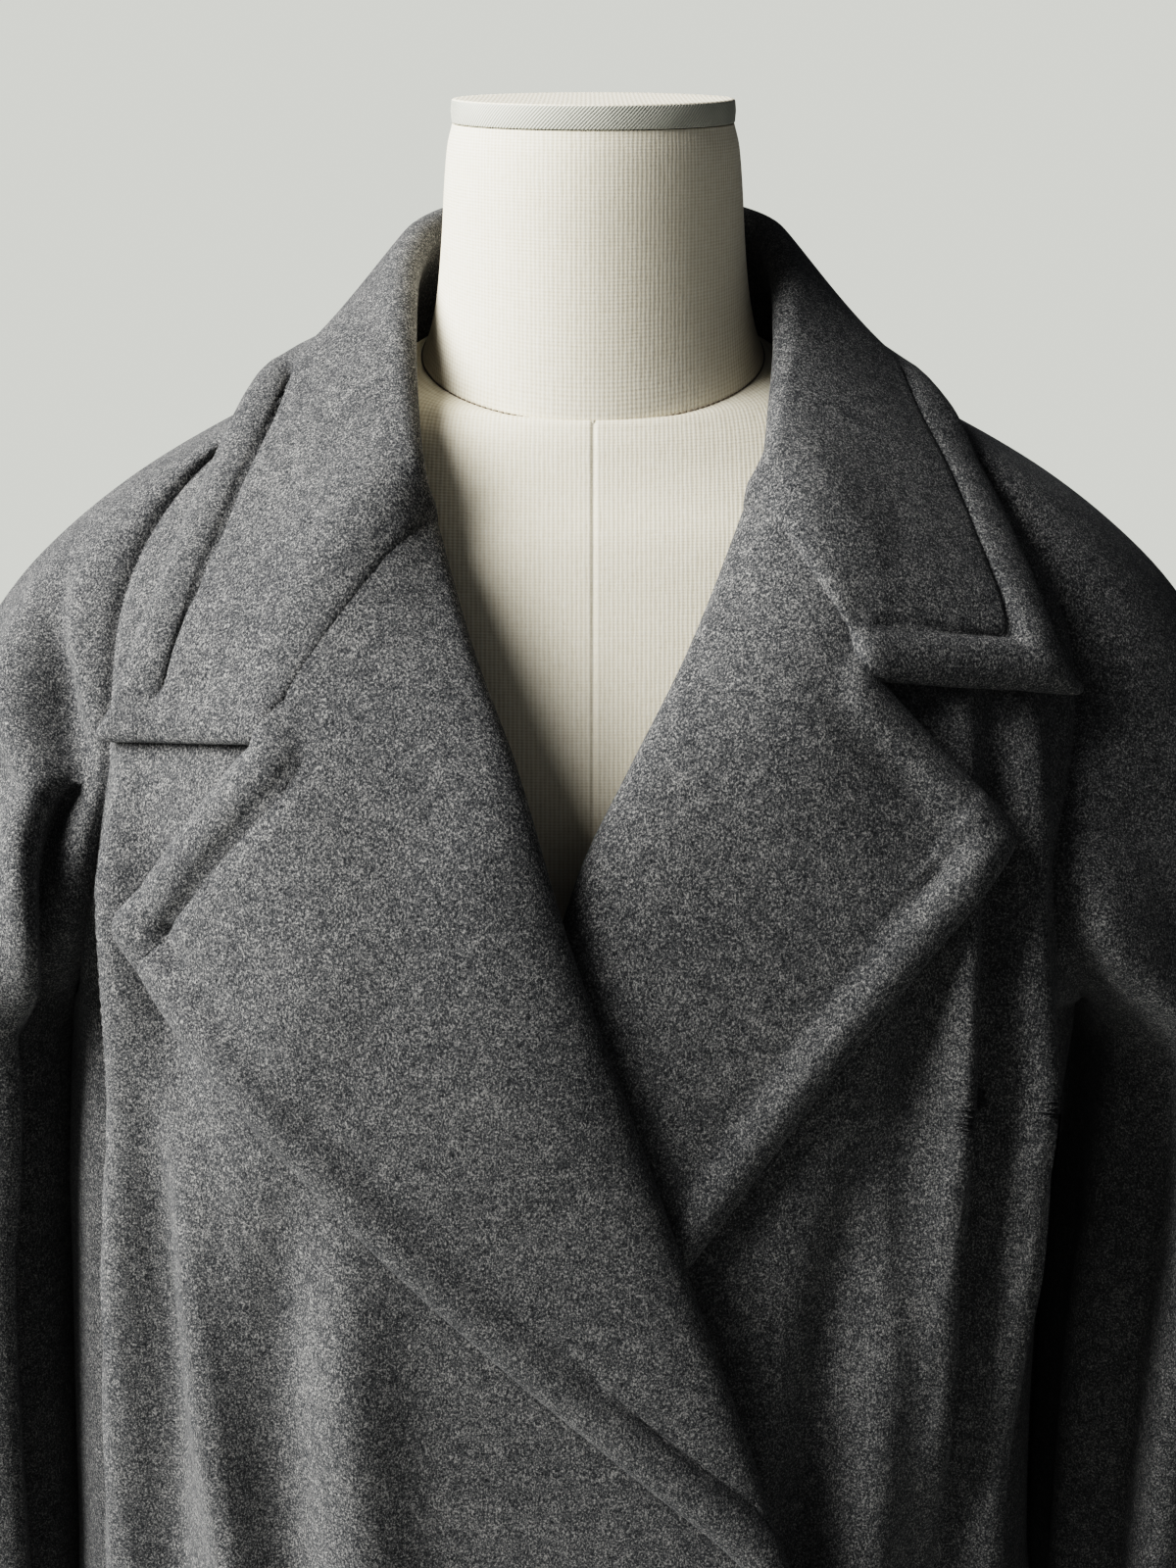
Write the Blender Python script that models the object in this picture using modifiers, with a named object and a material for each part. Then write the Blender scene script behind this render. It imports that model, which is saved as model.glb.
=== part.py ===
"""A double-breasted wool coat on a limbless dress form, at its real size.

Metres, +Z up, the front faces -Y, and the origin is at the middle of the stand's foot.
"right" and "left" are the wearer's: the right front, at -X, laps over the left one.
Every cloth panel is one open sheet that a Solidify modifier gives its thickness, inwards.
"""

import math
from collections import namedtuple

import bmesh
import bpy
from mathutils import Vector
from mathutils.bvhtree import BVHTree

# ---------------------------------------------------------------- driving dimensions
CLOTH = 0.0024            # one layer of coating cloth
REVERS = 0.0040           # lapel and collar: two layers, pressed
SEAM = 0.0003             # each panel's edge stops this far short of the seam line
GORGE_SEAM = 0.0013       # collar and lapel both stop this far short of the gorge
ARM_SEAM = 0.0011         # a raglan seam turns a corner, so a sleeve stops this far short
ARM_AIR = 0.0020          # between the sleeve's underarm and the side of the body
LIFT = 0.0016             # air between a panel and the collar or lapel that lies on it
ROLL = CLOTH / 2 + LIFT + REVERS / 2    # radius of the roll, at the middle of the cloth
ROLL_AIR = 0.0011         # between a front's edge and the inside of its roll
LAP_RISE = 0.0150         # the right front rides this far over the left one and its lapel
LAP_RISE_LOW = 0.0055     # and this far below the break, where no lapel lies between

UNDERARM_Z = 1.160
HEM_Z = 0.310
BREAK_Z = 0.950           # where the lapels begin to roll open
LAP_X = 0.090             # the front edges stand this far past the centre
AXIS_Y = 0.005            # the body sections turn about this line
CREST_Y = 0.012           # the shoulder line lies in this plane

YOKE_ROWS = 10            # rows of faces from the neckline to the underarm
SKIRT_LINES = (1.160, 1.105, 1.050, 1.000, 0.954, 0.922, 0.860, 0.780, 0.670, 0.550, 0.430, HEM_Z)
SKIRT_ROWS = len(SKIRT_LINES) - 1
ARM_ROWS = 7              # rows of a sleeve from the underarm to the cuff
FRONT_COLUMNS, BACK_COLUMNS, ARM_COLUMNS = 17, 16, 15
TURN_STEPS, ROLL_STEPS, GORGE_STEPS, POINT_STEPS = 2, 4, 4, 3   # across collar and lapels
REVERS_STEPS = TURN_STEPS + ROLL_STEPS + GORGE_STEPS + POINT_STEPS
TURN_END = TURN_STEPS / REVERS_STEPS                  # the inner turning ends here
ROUND_END = (TURN_STEPS + ROLL_STEPS) / REVERS_STEPS  # and the roll itself here
NOTCH_SHARE = GORGE_STEPS / (GORGE_STEPS + POINT_STEPS)
LAPEL_ROWS = 12
COLLAR_HALF = (0.0, 0.03, 0.06, 0.095, 0.13, 0.165, 0.20, 0.235, 0.27, 0.31, 0.35, 0.39, 0.43)
COLLAR_SHARES = (*COLLAR_HALF, 0.467, 0.5, 0.533, *(1 - share for share in COLLAR_HALF[::-1]))
COLLAR_ROWS = len(COLLAR_SHARES) - 1

RIGHT = -1
LEFT = 1

# ---------------------------------------------------------------- tables
# The body below the arms: half width, depth to the front and back, squareness, and how
# far the section stands off centre.
Section = namedtuple("Section", "z width front back square shift")
BODY = (
    Section(0.310, 0.262, 0.200, 0.182, 2.5, -0.010),
    Section(0.600, 0.236, 0.184, 0.164, 2.7, -0.012),
    Section(0.800, 0.216, 0.170, 0.150, 2.9, -0.013),
    Section(0.950, 0.205, 0.160, 0.142, 3.1, -0.013),
    Section(1.080, 0.202, 0.152, 0.138, 3.3, -0.010),
    Section(1.160, 0.202, 0.147, 0.135, 3.4, -0.004),
)

# The raglan seams, from the neckline (share 0) to the underarm (share 1): the angle round
# the body from the front, and the angle up the shoulder's arch.
Seam = namedtuple("Seam", "share turn rise")
FRONT_SEAM = (
    Seam(0.00, 32, 80), Seam(0.12, 39, 79), Seam(0.24, 46, 76), Seam(0.34, 52, 69),
    Seam(0.44, 57, 60), Seam(0.53, 61, 52), Seam(0.62, 64, 44), Seam(0.70, 66, 36),
    Seam(0.76, 68, 30), Seam(0.82, 71, 23), Seam(0.88, 76, 15), Seam(0.92, 81, 9),
    Seam(0.96, 86, 4), Seam(1.00, 90, 0),
)
BACK_SEAM = (
    Seam(0.00, 149, 80), Seam(0.12, 141, 77), Seam(0.24, 134, 71), Seam(0.34, 129, 65),
    Seam(0.44, 125, 58), Seam(0.53, 122, 51), Seam(0.62, 119, 44), Seam(0.70, 116, 36),
    Seam(0.76, 113, 30), Seam(0.82, 109, 23), Seam(0.88, 104, 15), Seam(0.92, 99, 9),
    Seam(0.96, 94, 4), Seam(1.00, 90, 0),
)

# The sleeve's outer line over the shoulder, by the same shares, and its half depth.
Crown = namedtuple("Crown", "share x z depth")
CROWN = (
    Crown(0.00, 0.085, 1.4227, 0.000), Crown(0.12, 0.114, 1.4118, 0.000),
    Crown(0.24, 0.150, 1.3950, 0.000), Crown(0.34, 0.180, 1.3775, 0.000),
    Crown(0.44, 0.206, 1.3580, 0.048), Crown(0.53, 0.228, 1.3370, 0.062),
    Crown(0.62, 0.247, 1.3110, 0.074), Crown(0.70, 0.261, 1.2830, 0.084),
    Crown(0.76, 0.269, 1.2600, 0.093), Crown(0.82, 0.276, 1.2360, 0.101),
    Crown(0.88, 0.282, 1.2130, 0.104), Crown(0.92, 0.2865, 1.1960, 0.104),
    Crown(0.96, 0.2905, 1.1820, 0.102), Crown(1.00, 0.2945, 1.1700, 0.100),
)

# The sleeve below the arm: middle of each ring, half width and half depth. The right
# sleeve hangs a little further out than the left one.
Ring = namedtuple("Ring", "z right_x left_x y width depth")
ARM = (
    Ring(0.740, 0.283, 0.257, -0.018, 0.0410, 0.064),
    Ring(0.820, 0.278, 0.252, -0.012, 0.0440, 0.071),
    Ring(0.920, 0.274, 0.246, -0.006, 0.0465, 0.081),
    Ring(1.020, 0.2700, 0.2465, -0.002, 0.0475, 0.090),
    Ring(1.100, 0.2630, 0.2500, 0.000, 0.0470, 0.096),
    Ring(1.166, 0.2535, 0.2500, 0.000, 0.0445, 0.100),
)

# Folds of the body: angle and height where each begins and ends, half width in degrees,
# and how far it stands out (or in, below zero). The fronts share theirs, so that one lies
# over the other.
Fold = namedtuple("Fold", "turn_top z_top turn_low z_low width height")
FRONT_FOLDS = (
    Fold(-58, 1.310, -57, 0.310, 6, 0.007),
    Fold(-50, 1.290, -49, 0.310, 4, -0.006),
    Fold(-43, 1.270, -39, 0.310, 4, 0.008),
    Fold(-36, 1.180, -34, 0.310, 5, -0.006),
    Fold(-29, 1.150, -18, 0.860, 6, 0.007),
    Fold(-74, 1.150, -72, 0.310, 7, -0.006),
    Fold(43, 1.220, 36, 0.310, 6, 0.009),
    Fold(46, 1.330, 47, 1.100, 3, 0.005),
    Fold(50, 1.300, 49, 0.900, 4, -0.005),
    Fold(55, 1.330, 54, 0.310, 5, 0.006),
    Fold(73, 1.150, 71, 0.310, 7, -0.007),
)
# The left one also sinks beside the lap, where the right one bridges it.
LEFT_FOLDS = FRONT_FOLDS + (Fold(41, 1.240, 29, 0.900, 5, -0.010),)
BACK_FOLDS = (
    Fold(-158, 1.260, -152, 0.310, 7, 0.010),
    Fold(-136, 1.220, -130, 0.310, 7, -0.009),
    Fold(-116, 1.150, -112, 0.310, 7, 0.009),
    Fold(179, 1.100, 176, 0.310, 8, -0.008),
    Fold(162, 1.240, 158, 0.310, 7, 0.009),
    Fold(139, 1.200, 134, 0.310, 8, -0.010),
    Fold(117, 1.160, 110, 0.310, 7, 0.010),
)

# Folds of a sleeve: angle round it (0 is the front, 90 the outer side).
RIGHT_ARM_FOLDS = (
    Fold(52, 1.350, 40, 0.740, 14, 0.008),
    Fold(22, 1.330, 12, 0.740, 13, -0.009),
    Fold(4, 1.240, -14, 0.900, 12, 0.006),
    Fold(84, 1.300, 92, 0.740, 13, -0.007),
    Fold(120, 1.320, 128, 0.740, 15, 0.009),
    Fold(158, 1.280, 168, 0.740, 14, -0.008),
)
LEFT_ARM_FOLDS = (
    Fold(26, 1.320, 18, 0.740, 12, 0.008),
    Fold(48, 1.300, 42, 0.740, 11, -0.008),
    Fold(70, 1.330, 66, 0.740, 13, 0.008),
    Fold(2, 1.220, -8, 0.800, 12, -0.007),
    Fold(104, 1.300, 110, 0.740, 14, -0.007),
    Fold(146, 1.320, 152, 0.740, 15, 0.009),
)

# The roll of each lapel, seen from the front, from the gorge down to the break.
Point = namedtuple("Point", "share x z")
RIGHT_ROLL = (
    Point(0.00, -0.0560, 1.3750), Point(0.10, -0.0416, 1.3331), Point(0.19, -0.0260, 1.2949),
    Point(0.33, -0.0089, 1.2392), Point(0.47, 0.0120, 1.1791), Point(0.63, 0.0339, 1.1132),
    Point(0.79, 0.0566, 1.0442), Point(0.92, 0.0735, 0.9860), Point(1.00, 0.0840, 0.9500),
)
LEFT_ROLL = (
    Point(0.00, 0.0540, 1.3790), Point(0.10, 0.0325, 1.3323), Point(0.19, 0.0118, 1.2936),
    Point(0.28, -0.0055, 1.2587), Point(0.42, -0.0230, 1.2000), Point(0.63, -0.0470, 1.1100),
    Point(0.82, -0.0670, 1.0250), Point(1.00, -0.0840, 0.9500),
)
# Its outer edge, from the tip down to the break.
RIGHT_LAPEL_EDGE = (
    Point(0.00, -0.1714, 1.2320), Point(0.10, -0.1572, 1.2116), Point(0.22, -0.1276, 1.1810),
    Point(0.46, -0.0732, 1.1196), Point(0.63, -0.0308, 1.0770), Point(0.80, 0.0126, 1.0369),
    Point(0.93, 0.0540, 0.9960), Point(1.00, 0.0705, 0.9680),
)
LEFT_LAPEL_EDGE = (
    Point(0.00, 0.1492, 1.2665), Point(0.14, 0.1213, 1.2311), Point(0.32, 0.0863, 1.1869),
    Point(0.58, 0.0340, 1.1108), Point(0.80, -0.0240, 1.0330), Point(1.00, -0.0705, 0.9680),
)
NOTCH = {RIGHT: (-0.1155, 1.3007), LEFT: (0.0985, 1.3229)}

# The collar, from the right gorge round the neck to the left one: the middle of its
# roll, which way the roll faces, and its outer edge.
Station = namedtuple("Station", "share x y z face_x face_y face_z edge_x edge_y edge_z")
COLLAR = (
    Station(0.06, -0.0668, -0.0760, 1.3930, 0.80, 0.10, 0.55, -0.1800, -0.0900, 1.3130),
    Station(0.13, -0.0708, -0.0520, 1.4140, 0.60, 0.10, 0.78, -0.1712, -0.0760, 1.3400),
    Station(0.20, -0.0728, -0.0280, 1.4340, 0.40, 0.05, 0.90, -0.1560, -0.0520, 1.3660),
    Station(0.28, -0.0735, 0.0000, 1.4510, 0.25, -0.03, 0.96, -0.1440, 0.0000, 1.3985),
    Station(0.35, -0.0690, 0.0320, 1.4640, 0.20, -0.12, 0.97, -0.1280, 0.0520, 1.3900),
    Station(0.42, -0.0480, 0.0640, 1.4710, 0.12, -0.20, 0.97, -0.0860, 0.0960, 1.3780),
    Station(0.50, 0.0000, 0.0800, 1.4740, 0.00, -0.22, 0.97, 0.0000, 0.1160, 1.3740),
    Station(0.58, 0.0480, 0.0640, 1.4710, -0.12, -0.20, 0.97, 0.0860, 0.0960, 1.3780),
    Station(0.65, 0.0700, 0.0320, 1.4650, -0.20, -0.12, 0.97, 0.1250, 0.0520, 1.3930),
    Station(0.72, 0.0745, 0.0000, 1.4520, -0.25, -0.03, 0.96, 0.1390, 0.0020, 1.4040),
    Station(0.80, 0.0738, -0.0280, 1.4340, -0.40, 0.05, 0.90, 0.1510, -0.0420, 1.3800),
    Station(0.87, 0.0708, -0.0520, 1.4140, -0.60, 0.10, 0.78, 0.1660, -0.0740, 1.3500),
    Station(0.94, 0.0665, -0.0760, 1.3940, -0.80, 0.10, 0.55, 0.1760, -0.0900, 1.3260),
)
COLLAR_TIP = {RIGHT: (-0.1825, 1.2930), LEFT: (0.1815, 1.3085)}
NECK_DROP = 0.008         # the fronts' necklines start this far below the gorge
NECK_SCOOP = 1.0          # and bow outwards by this many degrees
RETURN = 0.012            # the facing turns in behind the front by this much
COLLAR_RETURN = 0.0024    # and the collar's ends by this much
COLLAR_AIR = 0.0028       # between the collar's stand and the edge of the neckline

# Buttons: two columns, the upper row just below the break.
BUTTON_X = 0.060
BUTTON_ROWS = (0.905, 0.765)
BUTTON_RADIUS = 0.0145
BUTTON_DEPTH = 0.0042
BUTTON_AIR = 0.0004       # between a button and the cloth that it lies on
BUTTON_STEPS = 20

# The dress form: half width, depth to the front and back, squareness, and how much each
# ring rises towards the back.
Form = namedtuple("Form", "z width front back square shift tilt")
FORM = (
    Form(0.780, 0.150, 0.092, 0.100, 2.3, 0.0, 0.00),
    Form(0.850, 0.168, 0.102, 0.115, 2.3, 0.0, 0.00),
    Form(0.950, 0.152, 0.095, 0.094, 2.3, 0.0, 0.00),
    Form(1.040, 0.126, 0.090, 0.080, 2.2, 0.0, 0.00),
    Form(1.120, 0.142, 0.106, 0.088, 2.3, 0.0, 0.00),
    Form(1.190, 0.160, 0.121, 0.098, 2.3, 0.0, 0.00),
    Form(1.250, 0.166, 0.113, 0.102, 2.3, 0.0, 0.00),
    Form(1.300, 0.172, 0.098, 0.101, 2.2, 0.0, 0.02),
    Form(1.345, 0.1745, 0.085, 0.090, 2.15, 0.0, 0.05),
    Form(1.372, 0.166, 0.077, 0.080, 2.1, 0.0, 0.07),
    Form(1.388, 0.150, 0.070, 0.073, 2.05, 0.0, 0.09),
    Form(1.400, 0.129, 0.066, 0.068, 2.0, 0.0, 0.11),
    Form(1.410, 0.107, 0.063, 0.063, 2.0, 0.0, 0.12),
    Form(1.4172, 0.086, 0.0605, 0.061, 2.0, 0.0, 0.14),
    Form(1.4240, 0.0665, 0.0600, 0.0630, 2.0, 0.0, 0.27),
)

Neck = namedtuple("Neck", "z y width depth tilt")
NECK = (
    Neck(1.4247, 0.0065, 0.0663, 0.0613, 0.27), Neck(1.4340, 0.0060, 0.0630, 0.0598, 0.20),
    Neck(1.4500, 0.0050, 0.0598, 0.0583, 0.12), Neck(1.4700, 0.0030, 0.0577, 0.0565, 0.05),
    Neck(1.4900, 0.0010, 0.0562, 0.0552, 0.01), Neck(1.5030, 0.0003, 0.0548, 0.0540, 0.00),
    Neck(1.5110, 0.0000, 0.0528, 0.0524, 0.00),
)
CAP_RADIUS = 0.0530
CAP_Z = 1.5113
TOP_Z = 1.5200
POLE_RADIUS = 0.0125
FOOT_RADIUS = 0.170
FOOT_HEIGHT = 0.030

# ---------------------------------------------------------------- reading the tables


def read(table, key, at, column):
    """A column of a table at any place along its key, on a smooth curve that never
    overshoots its rows."""
    keys = [getattr(row, key) for row in table]
    values = [getattr(row, column) for row in table]
    at = min(max(at, keys[0]), keys[-1])
    i = max(k for k in range(len(keys) - 1) if keys[k] <= at)
    slopes = [
        (values[k + 1] - values[k]) / (keys[k + 1] - keys[k]) for k in range(len(keys) - 1)
    ]

    def tangent(k):
        if k == 0 or k == len(keys) - 1:
            return slopes[min(k, len(slopes) - 1)]
        before, after = slopes[k - 1], slopes[k]
        return 0.0 if before * after <= 0 else 2 * before * after / (before + after)

    step = keys[i + 1] - keys[i]
    t = (at - keys[i]) / step
    return (
        values[i] * (1 + 2 * t) * (1 - t) ** 2
        + tangent(i) * step * t * (1 - t) ** 2
        + values[i + 1] * t * t * (3 - 2 * t)
        + tangent(i + 1) * step * t * t * (t - 1)
    )


def ease(t):
    """0 to 1, level at both ends."""
    t = min(max(t, 0.0), 1.0)
    return t * t * (3 - 2 * t)


def mix(a, b, t):
    return a + (b - a) * t


# ---------------------------------------------------------------- the coat's outer form


def section_point(table, turn, z):
    """A point of a horizontal section, `turn` degrees round from the front."""
    side, ahead = math.sin(math.radians(turn)), math.cos(math.radians(turn))
    width = read(table, "z", z, "width")
    depth = read(table, "z", z, "front" if ahead > 0 else "back")
    square = read(table, "z", z, "square")
    reach = (abs(side / width) ** square + abs(ahead / depth) ** square) ** (-1 / square)
    return Vector((reach * side + read(table, "z", z, "shift"), AXIS_Y - reach * ahead, z))


def crest_height(x, behind):
    """Height of the shoulder line, which is a little higher at the nape."""
    out = abs(x) - 0.06
    nape = 0.012 * max(0.0, 1 - (x / 0.08) ** 2) if behind else 0.0
    return 1.430 - 0.25 * out - 1.6 * out * out + nape


def shell(turn, level):
    """The smooth outer form. Level is metres below the underarm where it is negative,
    and above it the angle up the arch over the shoulder, as a share of a right angle."""
    if level <= 0:
        return section_point(BODY, turn, UNDERARM_Z + level)
    foot = section_point(BODY, turn, UNDERARM_Z)
    behind = abs(turn) > 90
    power = 2 / 2.6 if behind else 1.0
    angle = math.radians(min(90 * level, 89.99))
    crest = crest_height(foot.x, behind)
    return Vector((
        foot.x,
        CREST_Y + (foot.y - CREST_Y) * math.cos(angle) ** power,
        UNDERARM_Z + (crest - UNDERARM_Z) * math.sin(angle) ** power,
    ))


def shell_normal(turn, level):
    """Outward direction of the smooth form."""
    step = 0.004
    across = shell(turn + 1, level) - shell(turn - 1, level)
    up = shell(turn, level + step) - shell(turn, level - step)
    return across.cross(up).normalized()


def turn_at(x, z):
    """The angle at which the front of the section at this height has that x."""
    low, high = -89.0, 89.0
    for _ in range(40):
        middle = (low + high) / 2
        if section_point(BODY, middle, z).x < x:
            low = middle
        else:
            high = middle
    return low


def on_front(x, z):
    """(turn, level) of the point of the smooth front that is seen at x and z."""
    if z <= UNDERARM_Z:
        return turn_at(x, z), z - UNDERARM_Z
    rise = (z - UNDERARM_Z) / (crest_height(x, False) - UNDERARM_Z)
    return turn_at(x, UNDERARM_Z), math.degrees(math.asin(min(rise, 0.9999))) / 90


def lap_rise(side, point):
    """How far the right front stands off the smooth form, to ride over the left one."""
    if side == LEFT:
        return 0.0
    high = mix(LAP_RISE_LOW, LAP_RISE, ease((point.z - 0.85) / 0.095))
    across = ease((point.x + 0.175) / 0.075)
    return high * across * ease((1.37 - point.z) / 0.10)


def fold_height(folds, turn, z):
    """How far the folds of a table stand out at a place."""
    total = 0.0
    for fold in folds:
        down = fold.z_top - z
        along = min(max(down / (fold.z_top - fold.z_low), 0.0), 1.0)
        centre = mix(fold.turn_top, fold.turn_low, along)
        off = (turn - centre + 180) % 360 - 180
        grow = ease(down / 0.10) * (1 - ease((fold.z_low - z) / 0.10)) * (1 + 0.3 * along)
        total += fold.height * grow * math.exp(-((off / fold.width) ** 2))
    return total


def cloth_point(turn, level, folds, side=LEFT):
    """The outer face of the cloth: the smooth form with its folds and its lap."""
    point = shell(turn, level)
    out = fold_height(folds, turn, point.z) + lap_rise(side, point)
    return point + shell_normal(turn, level) * out


# ---------------------------------------------------------------- making solids


def new_object(name, bm, material, collection, smooth=True):
    mesh = bpy.data.meshes.new(name)
    bm.to_mesh(mesh)
    bm.free()
    if smooth:
        mesh.shade_smooth()
    mesh.materials.append(material)
    made = bpy.data.objects.new(name, mesh)
    collection.objects.link(made)
    return made


def sheet(name, across, down, place, thickness, offset, mirrored, material, collection):
    """A grid of cloth, each point put at place(u, v), thickened by Solidify. A mirrored
    grid runs the other way, so that its outer side still faces out."""
    bm = bmesh.new()
    bmesh.ops.create_grid(bm, x_segments=across, y_segments=down, size=0.5)
    kept = bm.verts.layers.float.new("across")
    for vert in bm.verts:
        u = 0.5 - vert.co.x if mirrored else vert.co.x + 0.5
        vert[kept] = u
        vert.co = place(u, 0.5 - vert.co.y)
    bmesh.ops.remove_doubles(bm, verts=bm.verts, dist=1e-6)
    made = new_object(name, bm, material, collection)
    wall = made.modifiers.new("wall", "SOLIDIFY")
    wall.thickness = thickness
    wall.offset = offset
    wall.use_quality_normals = True
    return made


def spin_round(made, steps):
    """Turns a profile about the Z axis."""
    spin = made.modifiers.new("turned", "SCREW")
    spin.steps = spin.render_steps = steps
    spin.use_merge_vertices = True
    spin.merge_threshold = 0.00005


def paint(name, colour, roughness, metallic=0.0):
    material = bpy.data.materials.new(name)
    material.use_nodes = True
    shader = material.node_tree.nodes["Principled BSDF"]
    shader.inputs["Base Color"].default_value = (*colour, 1)
    shader.inputs["Roughness"].default_value = roughness
    shader.inputs["Metallic"].default_value = metallic
    return material


# ---------------------------------------------------------------- fronts


def skirt_line(row):
    """Height of a row of the skirt, or between two rows."""
    low = min(int(row + 1e-6), SKIRT_ROWS - 1)
    return mix(SKIRT_LINES[low], SKIRT_LINES[low + 1], row - low)


def front_rows(side, v):
    """Where a row of a front begins, at the roll or the front edge, and ends, at the
    raglan or the side seam: (turn, level) of both."""
    rows = YOKE_ROWS + SKIRT_ROWS
    roll = RIGHT_ROLL if side == RIGHT else LEFT_ROLL
    if v * rows <= YOKE_ROWS:
        share = v * rows / YOKE_ROWS
        z = mix(roll[0].z - NECK_DROP, UNDERARM_Z, share)
        inner = on_front(roll_x(roll, z), z)
        outer = (
            side * read(FRONT_SEAM, "share", share, "turn"),
            read(FRONT_SEAM, "share", share, "rise") / 90,
        )
        return inner, outer
    z = skirt_line(v * rows - YOKE_ROWS)
    x = roll_x(roll, z) if z > BREAK_Z else -side * LAP_X
    return (turn_at(x, z), z - UNDERARM_Z), (side * 90.0, z - UNDERARM_Z)


def roll_x(roll, z):
    """Where the roll of a lapel stands at a height, less the room for the roll itself."""
    share = 0.5
    step = 0.25
    for _ in range(24):
        share += step if read(roll, "share", share, "z") > z else -step
        step /= 2
    side = RIGHT if roll is RIGHT_ROLL else LEFT
    return read(roll, "share", share, "x") + side * (ROLL + REVERS / 2 + ROLL_AIR)


def front_place(side):
    folds = FRONT_FOLDS if side == RIGHT else LEFT_FOLDS

    def place(u, v):
        inner, outer = front_rows(side, v)
        row = (shell(*inner) - shell(*outer)).length
        along = mix(0.0, 1 - SEAM / row, u)
        scoop = side * NECK_SCOOP * max(0.0, 1 - v * (YOKE_ROWS + SKIRT_ROWS))
        turn = mix(inner[0], outer[0], along) + scoop * 4 * along * (1 - along)
        level = mix(inner[1], outer[1], along)
        return cloth_point(turn, level, folds, side)

    return place


# ---------------------------------------------------------------- back


def back_place(u, v):
    """The back, from the wearer's left seam (u 0) round to the right one."""
    rows = YOKE_ROWS + SKIRT_ROWS
    if v * rows <= YOKE_ROWS:
        share = v * rows / YOKE_ROWS
        end = read(BACK_SEAM, "share", share, "turn")
        seam_level = read(BACK_SEAM, "share", share, "rise") / 90
        middle_level = mix(0.62, 0.0, share)
    else:
        end = 90.0
        seam_level = middle_level = skirt_line(v * rows - YOKE_ROWS) - UNDERARM_Z
    reach = (180 - end) * (1 - SEAM / 0.2)
    turn = 180 + reach * (2 * u - 1)
    level = mix(middle_level, seam_level, (2 * u - 1) ** 2)
    return cloth_point(turn if turn <= 180 else turn - 360, level, BACK_FOLDS)


# ---------------------------------------------------------------- sleeves


def arm_ring(side, share):
    """One ring of a sleeve above the underarm: its middle, the half axes outwards and
    to the front, and the angle by which it reaches round past them to the seams."""
    seams = [
        shell(side * read(table, "share", share, "turn"), read(table, "share", share, "rise") / 90)
        for table in (FRONT_SEAM, BACK_SEAM)
    ]
    middle = (seams[0] + seams[1]) / 2
    crown = Vector((
        side * read(CROWN, "share", share, "x"),
        mix(CREST_Y, 0.0, share),
        read(CROWN, "share", share, "z"),
    ))
    half = (seams[0] - seams[1]) / 2
    depth = max(read(CROWN, "share", share, "depth"), half.length)
    past = math.acos(min(half.length / depth, 1.0))
    middle.x += side * ARM_AIR * ease((share - 0.8) / 0.2)
    outward = (crown - middle) / (1 + math.sin(past))
    ahead = half.normalized() if half.length > 1e-6 else Vector((0, -1, 0))
    return crown - outward, outward, ahead * depth, math.degrees(past)


def sleeve_place(side, folds):
    def place(u, v):
        rows = YOKE_ROWS + ARM_ROWS
        if v * rows <= YOKE_ROWS:
            share = v * rows / YOKE_ROWS
            middle, outward, ahead, past = arm_ring(side, share)
            trim = math.degrees(ARM_SEAM / max(ahead.length, 0.02)) * (1 - ease((share - 0.9) / 0.1))
            psi = mix(-past + trim, 180 + past - trim, u)
        else:
            z = mix(ARM[-1].z, ARM[0].z, (v * rows - YOKE_ROWS) / ARM_ROWS)
            column = "right_x" if side == RIGHT else "left_x"
            x, y = side * read(ARM, "z", z, column), read(ARM, "z", z, "y")
            middle = Vector((x, y, z))
            outward = Vector((side * read(ARM, "z", z, "width"), 0, 0.008 * ease((z - 1.05) / 0.1)))
            ahead = Vector((0, -read(ARM, "z", z, "depth"), 0))
            psi = mix(-90, 270, u)
        turn = math.radians(psi)
        point = middle + outward * math.sin(turn) + ahead * math.cos(turn)
        normal = (
            outward.normalized() * math.sin(turn) / outward.length
            + ahead.normalized() * math.cos(turn) / ahead.length
        ).normalized()
        seam_side = ease((min(psi + 90, 270 - psi) - 20) / 60)
        return point + normal * fold_height(folds, psi, point.z) * seam_side

    return place


# ---------------------------------------------------------------- collar and lapels


class Surface:
    """The outer faces of panels that something lies on."""

    def __init__(self, *objects):
        points, faces = [], []
        for obj in objects:
            start = len(points)
            points += [v.co.copy() for v in obj.data.vertices]
            faces += [[start + i for i in p.vertices] for p in obj.data.polygons]
        self.points = points
        self.tree = BVHTree.FromPolygons(points, faces)

    def above(self, point, clear):
        """How much nearer to the cloth a point comes than it may, and the way out. Past
        the cloth's edge there is nothing to be clear of."""
        place, normal, _, distance = self.tree.find_nearest(point)
        height = (point - place).dot(normal)
        over = distance < 1e-9 or abs(height) > 0.8 * distance
        return (clear - height if over else 0.0), normal

    def push_out(self, point, clear):
        """The point, moved off the cloth until it is clear of it."""
        short, normal = self.above(point, clear)
        return point + normal * max(short, 0.0)


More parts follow.
